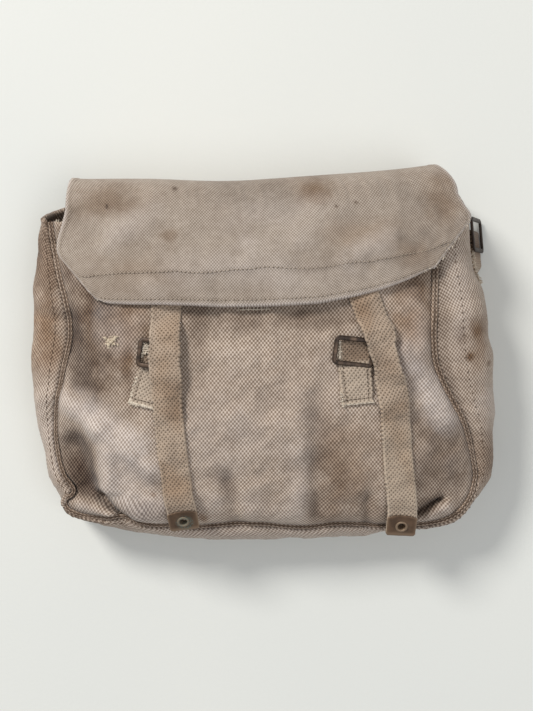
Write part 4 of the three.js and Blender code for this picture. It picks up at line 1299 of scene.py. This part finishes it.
flap_side = np.sign(normals_of(flap_grid)[-10, 100, 2])
flap_outer = flap_grid + normals_of(flap_grid) * flap_side * (flap_thickness / 2 + 0.12)
over_front = slice(behind_rows + over_rows, None)
facing_run = line_at(flap_outer[over_front], from_facing[over_front], facing_depth)[4:-4]
free_run = line_at(flap_outer[over_front], from_free[over_front], edge_stitch)[5:-5]
left_side = flap_outer[over_front, :40].transpose(1, 0, 2)[::-1]
left_run = line_at(left_side, from_left[over_front, :40].T[::-1], edge_stitch)[:-3]
right_side = flap_outer[over_front, -40:].transpose(1, 0, 2)
right_run = line_at(right_side, from_right[over_front, -40:].T, edge_stitch)[:-3]
flap_runs = [facing_run, free_run, left_run, right_run]
laid("flap_stitching", flap_runs, stitches, dull_thread, "flap_canvas", Seed=11,
     Pitch=0.0030, Length=0.0020, Thickness=0.00034, Waver=0.10)

# The right cut corner frays at both its ends. Needle holes lie half a stitch from the stitches.
right_ends = [flap_grid[-6:, -1], flap_grid[-1, -7:], flap_grid[-21:-14, -1]]
frayed_ends = right_ends + [flap_grid[-1, :5], flap_grid[-12:-6, -1]]
laid("flap_frayed_yarn", frayed_ends, frayed_yarn, pale_thread, "flap_canvas", Seed=13,
     Spacing=0.0009, Length=0.0026, Thickness=0.00026, Waver=0.9, Lean=(0.6, -0.5, 0.3))
holes = [evenly(run, 400)[2:] - np.array([0, 0, 0.05]) for run in flap_runs]
laid("flap_needle_holes", holes, stitches, needle_hole, "flap_canvas", Seed=12,
     Pitch=0.0030, Length=0.0009, Thickness=0.00036, Waver=0.15)

# ---- Closing straps, their tips and eyelets ------------------------------------------------------
# Two straps of narrow woven webbing, 19 mm wide, come out from under the flap and lie down the
# front over their buckles. Each one ends in a folded brass sheet, held on by a rolled eyelet.

strap_width, webbing_thickness = 19.0, 2.0
strap_length, strap_gap = 172.0, 0.3
pick_pitch = 1.35
tip_length, tip_plate, tip_margin = 18.0, 0.8, 0.6
eyelet_hole, eyelet_wall, eyelet_flange, eyelet_lip = 2.7, 0.5, 1.2, 0.7
eyelet_outer = eyelet_hole + eyelet_wall
eyelet_place = 0.52 * tip_length
buckle_height, buckle_thickness, strap_over_buckle = 20.5, 2.0, 1.5
tab_in_window, tab_length, tab_width = 0.15, 43.0, 21.0

left_strap_rows = table("along x y clear", """
    0.00 -69.6  64.1 0
    0.14 -69.0  36.9 0
    0.28 -69.0  13.1 0
    0.44 -67.9 -14.2 0
    0.60 -66.5 -41.6 0
    0.76 -64.2 -69.2 0
    0.87 -62.5 -83.4 0.3
    1.00 -60.8 -101.3 3.4
""")
right_strap_rows = table("along x y clear", """
    0.00 58.0  66.0 0
    0.14 67.0  43.2 0
    0.28 77.3  13.1 0
    0.44 84.4 -14.3 0
    0.60 88.5 -41.7 0
    0.76 91.0 -69.6 0
    0.87 92.6 -84.7 0.6
    1.00 94.7 -104.8 4.5
""")

# The buckles that the straps pass over: their places, and the turns of frame and tab.
left_buckle = {"x": -73.3, "y": 3.0, "turn": -8, "tab_turn": -14}
right_buckle = {"x": 59.2, "y": 6.0, "turn": -7, "tab_turn": 5}


def ramp(value):
    """A smooth step from 0 to 1."""
    t = np.clip(value, 0, 1)
    return t * t * (3 - 2 * t)


def strap_lift(y, buckle_y):
    """Height over the front: on the cloth, on the tab, or over the buckle."""
    rest = cloth_thickness / 2 + strap_gap + webbing_thickness / 2
    upper, slack = buckle_height / 2 + 2.5, 12.0
    lower_tab = (1 - tab_in_window) * tab_length + webbing_thickness
    start = ramp((upper + slack - y + buckle_y) / slack)
    over_tab = start * ramp((y - buckle_y + lower_tab + slack) / slack)
    over_buckle = start * ramp((y - buckle_y + upper + slack) / slack)
    lift = rest + (webbing_thickness + strap_gap) * over_tab
    return lift + (buckle_thickness + strap_over_buckle) * over_buckle


def strap_place(rows, buckle_y, along, offset):
    """Middle of a strap at a share of its run, offset across it."""
    near, far = np.maximum(along - 0.01, 0), np.minimum(along + 0.01, 1)
    run = np.stack([read(rows, axis, far) - read(rows, axis, near) for axis in "xy"], axis=-1)
    run /= np.linalg.norm(run, axis=-1, keepdims=True)
    x = read(rows, "x", along) - run[..., 1] * offset
    y = read(rows, "y", along) + run[..., 0] * offset
    lift = strap_lift(y, buckle_y) + read(rows, "clear", along)
    return np.stack([x, y, front_height(x, y)], axis=-1) + front_normal(x, y) * lift[..., None]


def unit(vector):
    return vector / np.linalg.norm(vector)


def brass_finish(name, body, rub_and_highlight):
    """Brass gone dark brown, worn lighter on high edges and painted lighter along a bar's upper
    face as a highlight, with green where damp has stood.
    """
    finish = Finish(name)
    mottle = finish.noise(160.0, 4.0)
    fine = finish.noise(1400.0, 3.0)
    rubbed_and_lit, damp = finish.wear_and_shading(0), finish.wear_and_shading(1)
    darker = tuple(0.62 * c for c in body)
    colour = finish.blend(mottle.step(0.35, 0.68), body, darker)
    colour = finish.blend((rubbed_and_lit * (0.45 + mottle)).held(), colour, rub_and_highlight)
    green = (damp * fine.step(0.40, 0.62) * 0.8).held()
    colour = finish.blend(green, colour, linear(108, 132, 124))
    rough = 0.34 + mottle * 0.26 + damp * 0.3
    return finish.shaded(colour, rough, mottle * 0.6 + fine * 0.4, 0.00012, metal=0.5)


webbing_yarn, webbing_pit = linear(186, 168, 149), linear(104, 87, 69)
strap_webbing = cloth_finish("strap_webbing", webbing_yarn, webbing_pit, across=0.00145,
                             along=0.00165, depth=0.00050, pits=(-0.86, -0.06),
                             rub_and_highlight=linear(200, 184, 163))
brass = brass_finish("aged_brass", linear(108, 84, 64), linear(150, 126, 102))


def cut_hole(piece, centre, axes, radius):
    """Cuts a round hole through a piece on a frame's Z axis."""
    reach, count = 6.0, 40
    angle = np.arange(count) / count * 2 * math.pi
    ring = np.stack([radius * np.cos(angle), radius * np.sin(angle), 0 * angle], axis=-1)
    points = np.concatenate([ring - [0, 0, reach], ring + [0, 0, reach]]) @ axes + centre
    faces = [[k, (k + 1) % count, count + (k + 1) % count, count + k] for k in range(count)]
    faces += [list(range(count))[::-1], list(range(count, 2 * count))]
    tool = new_piece("hole_cutter", points, outward(points, faces), smooth=False)
    cut = piece.modifiers.new("hole", "BOOLEAN")
    cut.operation, cut.solver, cut.object = "DIFFERENCE", "EXACT", tool
    settle(piece)
    bpy.data.objects.remove(tool)


def strap_end(rows, buckle_y, slope, turn):
    """Where a strap's own run ends, and the frame of its flat end: across, up and outwards."""
    middle = np.array(0.0)
    start = strap_place(rows, buckle_y, np.array(1.0), middle)
    before = strap_place(rows, buckle_y, np.array(0.97), middle)
    x, y = unit((start - before)[:2])
    c, s = math.cos(math.radians(turn)), math.sin(math.radians(turn))
    run = np.array([x * c - y * s, x * s + y * c])
    down = unit(np.append(run, slope))
    across = np.array([-run[1], run[0], 0])
    return start, np.array([across, -down, np.cross(across, -down)])


def make_strap(side, rows, buckle_y, start, axes):
    """The webbing: it follows the front, then levels out into the flat end inside its tip."""
    across, up, out = axes
    shares = np.linspace(-0.5, 0.5, 19)
    along, share = np.meshgrid(np.linspace(0, 1, 330), shares, indexing="ij")
    to_edge = np.abs(share) / 0.5
    level_from, twisted_rows = 0.8, 300
    picks = 0.12 * np.sin(along * strap_length * math.pi / pick_pitch) * to_edge ** 6
    offset = share * strap_width + np.sign(share) * picks
    curved = strap_place(rows, buckle_y, along, offset)
    level = strap_place(rows, buckle_y, along, 0 * offset) + across * offset[..., None]
    grid = curved + (level - curved) * ramp((along - level_from) / (1 - level_from))[..., None]
    inside_tip = np.linspace(0, tip_length - tip_plate - 0.9, 30)[1:, None, None]
    grid = np.concatenate([grid, start + across * shares[:, None] * strap_width - up * inside_tip])
    twist = 0.35 * ripple(np.linspace(0, 190, len(grid)), 0, 60, 101)[:, None] * shares * 2
    grid[:twisted_rows] += out * twist[:twisted_rows, :, None]

    x, y = grid[..., 0], grid[..., 1]
    edge = np.abs(shares) / 0.5 + 0 * x
    sewn = ramp((edge - 0.72) / 0.1) * ramp((0.93 - edge) / 0.08)
    dark = 0.22 * np.clip(ripple(x, y, 40, 103), 0, 1) + 0.20 * sewn
    warm = 0.18 + 0.25 * np.clip(ripple(x, y, 60, 107), 0, 1)
    faded = 0.34 * ramp((-20 - y) / 60) if side == "right" else 0
    wear_and_shading = np.stack([dark, warm, 0.24 * edge ** 8 + faded], axis=-1).clip(0, 1)
    strap = cloth_wall(f"{side}_closing_strap_webbing", grid, webbing_thickness, wear_and_shading)
    cut_hole(strap, start - up * eyelet_place, axes, eyelet_outer + strap_gap)
    finished(strap, strap_webbing, "strap_webbing", f"{side}_closing_strap")


def make_tip(side, start, axes, seed, damp):
    """One strip of sheet, folded round the strap's end, with a bowed upper edge."""
    half = strap_width / 2 + tip_margin
    pocket = webbing_thickness / 2 + 2 * strap_gap + tip_plate / 2
    p = np.linspace(-1, 1, 41)
    top = -0.5 - 2.0 * np.abs(p) ** 2.2
    low = pocket - tip_length + 1.6 * np.clip((np.abs(p) - 0.86) / 0.14, 0, 1) ** 2
    rows = [(top + (low - top) * t, pocket) for t in np.linspace(0, 1, 16)]
    for angle in np.linspace(0, math.pi, 9)[1:-1]:
        rows.append((low - pocket * math.sin(angle), pocket * math.cos(angle)))
    rows += [(low + (top - low) * t, -pocket) for t in np.linspace(0, 1, 16)]
    sheet = np.array([np.stack([p * half, y, 0 * p + z], axis=-1) for y, z in rows])
    dent = 0.10 * ripple(sheet[..., 0], sheet[..., 1], 11, seed)
    sheet[..., 2] += dent * np.sign(sheet[..., 2])

    wear_and_shading = np.zeros(sheet.shape)
    folded = np.exp(-((sheet[..., 1] - low) / 1.4) ** 2)
    wear_and_shading[..., 0] = 0.75 * np.maximum(np.abs(p) ** 14, folded)
    from_eyelet = np.hypot(sheet[..., 0] - 1.0, sheet[..., 1] + eyelet_place + 1.0)
    wear_and_shading[..., 1] = damp * np.exp(-((from_eyelet - 4.6) / 1.5) ** 2)
    tip = cloth_wall(f"{side}_strap_tip_sheet", sheet @ axes + start, tip_plate, wear_and_shading)
    cut_hole(tip, start - axes[1] * eyelet_place, axes, eyelet_outer + 0.05)
    finished(tip, brass, "aged_brass", f"{side}_strap_tip")


def rolled_profile(radius, half_height):
    """Section of a rolled eyelet: a tube whose two ends curl outwards into round lips."""
    wide = (eyelet_flange + eyelet_wall) / 2
    middle = radius + wide
    curl = []
    for angle in np.linspace(0, math.pi, 9):
        place = middle - wide * math.cos(angle), half_height + eyelet_lip * math.sin(angle)
        curl.append(place)
    upper = curl + [(radius + eyelet_wall, half_height - 0.02)]
    return upper + [(r, -h) for r, h in reversed(upper)]


def make_eyelet(side, start, axes, damp, count=56):
    """A ring turned from the rolled profile."""
    half_height = webbing_thickness / 2 + 2 * strap_gap + tip_plate
    radius, rise = np.array(rolled_profile(eyelet_hole, half_height)).T
    angle = (np.arange(count) / count * 2 * math.pi)[:, None]
    sections = np.broadcast_arrays(radius * np.cos(angle), radius * np.sin(angle), rise)
    points = np.stack(sections, axis=-1).reshape(-1, 3) @ axes + start - axes[1] * eyelet_place
    number = np.arange(count * len(rise)).reshape(count, len(rise))
    after = np.roll(number, -1, axis=0)
    corners = [number, np.roll(number, -1, axis=1), np.roll(after, -1, axis=1), after]
    faces = np.stack(corners, axis=-1).reshape(-1, 4).tolist()
    wear_and_shading = np.tile([0.8, damp, 0.0], (len(points), 1))
    faces = outward(points, faces)
    eyelet = new_piece(f"{side}_tip_eyelet_ring", points, faces, None, wear_and_shading)
    finished(eyelet, brass, "aged_brass", f"{side}_tip_eyelet")


left_end = strap_end(left_strap_rows, left_buckle["y"], slope=-0.62, turn=-3)
make_strap("left", left_strap_rows, left_buckle["y"], *left_end)
make_tip("left", *left_end, seed=111, damp=0.9)
make_eyelet("left", *left_end, damp=0.8)

right_end = strap_end(right_strap_rows, right_buckle["y"], slope=-0.48, turn=-6)
make_strap("right", right_strap_rows, right_buckle["y"], *right_end)
make_tip("right", *right_end, seed=113, damp=0.1)
make_eyelet("right", *right_end, damp=0.15)

# ---- Front buckles on their tabs -----------------------------------------------------------------
# Each buckle is an open frame of flattened brass bar. A short webbing tab goes round its lower bar
# and is sewn to the front, and the tab's frayed end shows in the buckle's window.

buckle_width, buckle_bar, bar_corner = 29.0, 3.2, 2.4
tab_rest = cloth_thickness / 2 + strap_gap + webbing_thickness / 2
tab_foot = (1 - tab_in_window) * tab_length
buckle_brass = brass_finish("buckle_brass", linear(58, 45, 36), linear(116, 95, 78))


def make_tab(side, x, y, tab_turn, seed):
    """A tab's webbing, on the front. The left one is torn, and wider where it has frayed open.
    It returns the places on its middle and on its outer face."""
    torn = side == "left"
    c, s = math.cos(math.radians(tab_turn)), math.sin(math.radians(tab_turn))
    run = np.linspace(tab_in_window, tab_in_window - 1, 72) * tab_length
    down, share = np.meshgrid(run, np.linspace(-0.5, 0.5, 32), indexing="ij")
    wide = tab_width * (1 + (0.10 * ramp((-down - 12) / 20) if torn else 0))
    uneven = 0.5 * ripple(down, 0, 9, seed) * (np.abs(share) / 0.5) ** 4
    across = share * wide + np.sign(share) * uneven
    px, py = x + across * c - down * s, y + across * s + down * c
    normal = front_normal(px, py)
    grid = np.stack([px, py, front_height(px, py)], axis=-1) + normal * tab_rest

    # Stitches run down both its sides and along its foot, in a shallow groove.
    from_sides = np.abs(np.abs(share) - 0.40) * tab_width
    from_stitches = np.minimum(from_sides, np.abs(down + tab_foot - 2.6))
    groove = 0.35 * np.exp(-(from_stitches / 0.9) ** 2) * (down < -13)
    grid -= normal * groove[..., None]
    window = ramp((down + 9.5) / 3)
    fresh = ramp((down - 0.5) / 2) if torn else np.exp(-((share + 0.5) / 0.10) ** 2)
    foot = np.exp(-((down + 36) / 1.2) ** 2)
    dark = groove * 1.6 + 0.28 * window * (1 - fresh) + 0.10
    pale = 0.9 * window * fresh + 0.30 * (1 - window) + 0.3 * foot
    wear_and_shading = np.stack([dark, 0.3 * window, pale], axis=-1).clip(0, 1)
    tab = cloth_wall(f"{side}_buckle_tab_webbing", grid, webbing_thickness, wear_and_shading)
    finished(tab, strap_webbing, "strap_webbing", f"{side}_buckle_tab")
    return grid, grid + normal * (webbing_thickness / 2 + 0.05)


def dress_tab(side, grid, face, seed):
    """A tab's stitches, and the yarn that its ends and torn edges have let go."""
    torn = side == "left"
    runs = [face[30:-5, 4], face[30:-5, -5], face[-6, 4:-4]]
    laid(f"{side}_tab_stitching", runs, stitches, dark_thread, "strap_webbing", Seed=seed + 3,
         Pitch=0.0025, Length=0.0014, Thickness=0.00036, Waver=0.12)
    laid(f"{side}_tab_end_tuft", [grid[1:17, 0], grid[1:17, 1]], frayed_yarn, pale_thread,
         "strap_webbing", Seed=seed + 6, Spacing=0.0004, Length=0.0042 if torn else 0.0020,
         Thickness=0.00044, Waver=0.5, Lean=(-1.0, 0.1, 0.45))
    ends = [grid[2:14, 0], grid[2:14, 1]]
    if torn:
        ends = [grid[1, 1:-1], grid[3, 1:-1], grid[2:14, 1]]
    laid(f"{side}_tab_frayed_end", ends, frayed_yarn, pale_thread, "strap_webbing",
         Seed=seed + 4, Spacing=0.0005, Length=0.0022, Thickness=0.00042, Waver=0.8,
         Lean=(-0.3, -0.2, 1.0))
    rolled = [grid[-1] + [0, 0, 0.4], grid[-14:, 0], grid[42:47, 0]]
    laid(f"{side}_tab_rolled_edge", rolled, stitches, pale_thread, "strap_webbing",
         Seed=seed + 7, Pitch=0.0014, Length=0.0022, Thickness=0.0011 if torn else 0.0006,
         Waver=0.35)
    if torn:
        edges = [grid[40:60, 0], grid[-1, :10], grid[-8:, 0]]
        across = np.linspace(-84.4, -78.5, 9)
        cut_end = [on_front(across, 0 * across + y, 2.8) for y in (4.4, 5.9, 7.4, 8.9)]
    else:
        edges = [grid[-16:, 0], grid[-1, :4]]
        cut_end = [on_front(np.full(9, 50.0), np.linspace(1.0, 11.4, 9), 2.6)]
    laid(f"{side}_webbing_end", cut_end, stitches, pale_thread, "strap_webbing", Seed=seed + 8,
         Pitch=0.0013, Length=0.0022, Thickness=0.00080, Waver=0.55)
    laid(f"{side}_tab_torn_edge", edges, frayed_yarn, pale_thread, "strap_webbing",
         Seed=seed + 5, Spacing=0.0007, Length=0.0022, Thickness=0.00046, Waver=0.9,
         Lean=(-0.9, -0.4, 0.6))


def squared(value):
    """Turns a circle's sine or cosine into that of a circle with flattened sides."""
    return np.sign(value) * np.abs(value) ** 0.72


def bar_frame(name, width, height, axes, centre, seed):
    """A rectangular frame of bar with round corners and a flattened round section."""
    places, sides = 240, 20
    half_x, half_y = (width - buckle_bar) / 2 - bar_corner, (height - buckle_bar) / 2 - bar_corner
    line = []
    for quarter, (x, y) in enumerate([(1, -1), (1, 1), (-1, 1), (-1, -1)]):
        for angle in (np.linspace(0, 1, 9) + quarter - 1) * math.pi / 2:
            corner = bar_corner * math.cos(angle), bar_corner * math.sin(angle)
            line.append((x * half_x + corner[0], y * half_y + corner[1]))
    line = evenly(np.array(line + line[:1]), places + 1)[:-1]
    run = np.roll(line, -1, axis=0) - np.roll(line, 1, axis=0)
    run /= np.linalg.norm(run, axis=1, keepdims=True)
    angle = np.arange(sides) / sides * 2 * math.pi
    uneven = 1 + 0.035 * ripple(line[:, 0], line[:, 1], 16, seed)[:, None]
    reach = squared(np.cos(angle)) * buckle_bar / 2 * uneven
    rise = squared(np.sin(angle)) * buckle_thickness / 2 * uneven
    x, y = line[:, :1] + run[:, 1:] * reach, line[:, 1:] - run[:, :1] * reach
    points = np.stack([x, y, rise], axis=-1).reshape(-1, 3) @ axes + centre
    number = np.arange(places * sides).reshape(places, sides)
    after, beside = np.roll(number, -1, axis=0), np.roll(number, -1, axis=1)
    corners = [number, beside, np.roll(after, -1, axis=1), after]
    faces = np.stack(corners, axis=-1).reshape(-1, 4).tolist()
    # The bar's upper face is painted lighter, as a highlight, made uneven like rubbing.
    worn = 0.35 + 0.35 * ripple(line[:, 0], line[:, 1], 12, seed + 1)[:, None]
    rubbed_and_lit = (np.clip(np.sin(angle), 0, 1) ** 3 * worn).ravel().clip(0, 1)
    wear_and_shading = np.stack([rubbed_and_lit, 0 * rubbed_and_lit, 0 * rubbed_and_lit], axis=1)
    return new_piece(name, points, outward(points, faces), None, wear_and_shading)


def make_buckle(side, x, y, turn, seed):
    """The frame lies on its tab, turned a little on the front."""
    out = front_normal(x, y)
    across = unit(np.array([1.0, 0, 0]) - out * out[0])
    other = np.cross(out, across)
    c, s = math.cos(math.radians(turn)), math.sin(math.radians(turn))
    axes = np.array([across * c + other * s, other * c - across * s, out])
    lift = tab_rest + webbing_thickness / 2 + strap_gap + buckle_thickness / 2 + 0.7
    centre = np.array([x, y, front_height(x, y)]) + out * lift
    name = f"{side}_buckle_frame"
    frame = bar_frame(name, buckle_width, buckle_height, axes, centre, seed)
    finished(frame, buckle_brass, "aged_brass", f"{side}_buckle")


for side, place, seed in (("left", left_buckle, 121), ("right", right_buckle, 131)):
    x, y = place["x"], place["y"]
    tab_middle, tab_face = make_tab(side, x, y, place["tab_turn"], seed)
    dress_tab(side, tab_middle, tab_face, seed)
    make_buckle(side, x, y, place["turn"], seed + 2)

# ---- Brace buckle and its tab --------------------------------------------------------------------
# A second, larger buckle for a shoulder brace stands at the right mouth corner, leaning on the
# gusset. Its short webbing tab is sewn against the gusset's outer side and has frayed.

brace_width, brace_height = 28.0, 26.0
brace_lean, brace_turn = math.radians(27), math.radians(5)
brace_tab_width, brace_tab_length, brace_tab_gap = 21.0, 38.0, 1.2
brace_from_side, brace_up_side, brace_floor_gap = 9.8, 0.81, 0.6
brace_fold_y, tab_lets_go, tab_below = 74.0, 0.36, 0.93

turn_cos, turn_sin = math.cos(brace_turn), math.sin(brace_turn)
turned = np.array([[turn_cos, turn_sin, 0], [-turn_sin, turn_cos, 0], [0, 0, 1]])
brace_rise = np.array([-math.sin(brace_lean), 0, math.cos(brace_lean)]) @ turned
brace_along = np.array([0, 1, 0]) @ turned
brace_out = np.cross(brace_along, brace_rise)
half_bar = buckle_thickness / 2 * math.sin(brace_lean)
brace_z = brace_width / 2 * math.cos(brace_lean) + half_bar + brace_floor_gap
brace_middle = np.array([half_wide + brace_from_side, brace_up_side * half_long, brace_z])


def gusset_side(y, z):
    """Outer face of the gusset's lower half on the right, as far across as its bow allows."""
    along = 4 + (y + half_long - panel_corner) / (2 * half_long - panel_corner)
    bow_height = read(gusset_rows, "height", along) * bag_depth
    bow = read(gusset_rows, "reach", along) * bag_depth
    drop = np.clip((bow_height - z) / (bow_height - back_seam_height), 0, 1)
    out = back_seam_reach + (bow - back_seam_reach) * np.sqrt(1 - drop ** 2)
    return half_wide + out + cloth_thickness / 2


# The tab leaves the buckle in line with it, and turns to lie against the gusset lower down.
tab_share, tab_across = np.meshgrid(np.linspace(0, 1, 70), np.linspace(0, 1, 30), indexing="ij")
on_buckle = ramp(tab_share / tab_lets_go)[..., None]
tab_run = brace_tab_length * (tab_share - tab_below)
tab_across += 0.02 * ripple(tab_run, 9 * tab_across, 8, 151) * (2 * tab_across - 1)
tab_y = brace_middle[1] + tab_run
tab_z = 2 * back_seam_height + brace_tab_width * tab_across
tab_x = gusset_side(tab_y, tab_z) + brace_tab_gap + webbing_thickness / 2
hugging = np.stack([tab_x, tab_y, tab_z], axis=-1)
behind_buckle = buckle_thickness / 2 + strap_gap + webbing_thickness / 2
leaning = brace_middle + brace_along * tab_run[..., None] - brace_out * behind_buckle
leaning += brace_rise * (brace_tab_width * (tab_across - 0.5))[..., None]
tab_grid = hugging + (leaning - hugging) * on_buckle
above_fold = tab_y - brace_fold_y
tab_dark = 0.8 * ramp(above_fold / 10)
tab_warm = 0.35 + 0.5 * np.exp(-((above_fold - 10) / 4) ** 2)
tab_pale = 0.5 * ramp(-above_fold / 8)
tab_wear = np.stack([tab_dark, tab_warm, tab_pale], axis=-1).clip(0, 1)
brace_tab = cloth_wall("brace_tab_webbing", tab_grid, webbing_thickness, tab_wear)
finished(brace_tab, strap_webbing, "strap_webbing", "brace_tab")

fringe = [tab_grid[:52, -1], tab_grid[0, :], tab_grid[:40, -3], tab_grid[:46, -1]]
laid("brace_tab_fringe", fringe, frayed_yarn, pale_thread, "strap_webbing", Seed=153,
     Spacing=0.0006, Length=0.0026, Thickness=0.00032, Waver=0.8, Lean=(0.4, -0.5, 0.6))

brace_axes = np.array([brace_rise, brace_along, -brace_out])
brace = bar_frame("brace_buckle_frame", brace_width, brace_height, brace_axes, brace_middle, 141)
finished(brace, buckle_brass, "aged_brass", "brace_buckle")

# ---- Floor, light and camera ---------------------------------------------------------------------
# A pale floor, a broad soft light from the upper left and a camera straight above, as in the photo.

floor_reach, floor_drop = 3.0, 0.0003
camera_place, camera_lens = (0, 0.0025, 0.72), 47.7

floor_corners = [(x * floor_reach, y * floor_reach, -floor_drop)
                 for x, y in ((-1, -1), (1, -1), (1, 1), (-1, 1))]
floor_mesh = bpy.data.meshes.new("floor")
floor_mesh.from_pydata(floor_corners, [], [(0, 1, 2, 3)])
floor = bpy.data.objects.new("floor", floor_mesh)
bpy.context.scene.collection.objects.link(floor)
paper = Finish("pale_floor")
speckle = paper.noise(420.0, 4.0)
cloud = paper.noise(2.2, 2.0)
paper_tone = paper.blend(cloud.step(0.3, 0.7), linear(226, 226, 219), linear(222, 223, 217))
floor.data.materials.append(paper.shaded(paper_tone, 0.9 + speckle * 0.08, speckle, 0.0001))


def soft_light(name, place, target, size, power, colour):
    """A round area light that faces its target."""
    lamp = bpy.data.lights.new(name, "AREA")
    lamp.shape, lamp.size, lamp.energy, lamp.color = "DISK", size, power, colour
    light = bpy.data.objects.new(name, lamp)
    light.location = place
    x, y, z = np.array(target, float) - np.array(place, float)
    light.rotation_euler = (math.atan2(math.hypot(x, y), -z), 0, math.atan2(y, x) - math.pi / 2)
    bpy.context.scene.collection.objects.link(light)


soft_light("window_light", (-1.7, 1.8, 2.0), (0, 0, 0.05), size=0.95, power=84,
           colour=(1.0, 0.985, 0.965))
soft_light("room_light", (0.9, -0.7, 2.1), (0, 0, 0), size=1.8, power=16,
           colour=(0.97, 0.98, 1.0))

world = bpy.data.worlds.new("room")
world.use_nodes = True
backdrop = world.node_tree.nodes["Background"]
backdrop.inputs["Color"].default_value = (0.93, 0.95, 1.0, 1)
backdrop.inputs["Strength"].default_value = 0.38
bpy.context.scene.world = world
bpy.context.scene.view_settings.view_transform = "Standard"

camera_data = bpy.data.cameras.new("camera")
camera_data.sensor_fit = "VERTICAL"
camera_data.sensor_height = 36
camera_data.lens = camera_lens
camera_data.clip_start = 0.05
camera = bpy.data.objects.new("camera", camera_data)
camera.location = camera_place
bpy.context.scene.collection.objects.link(camera)
bpy.context.scene.camera = camera
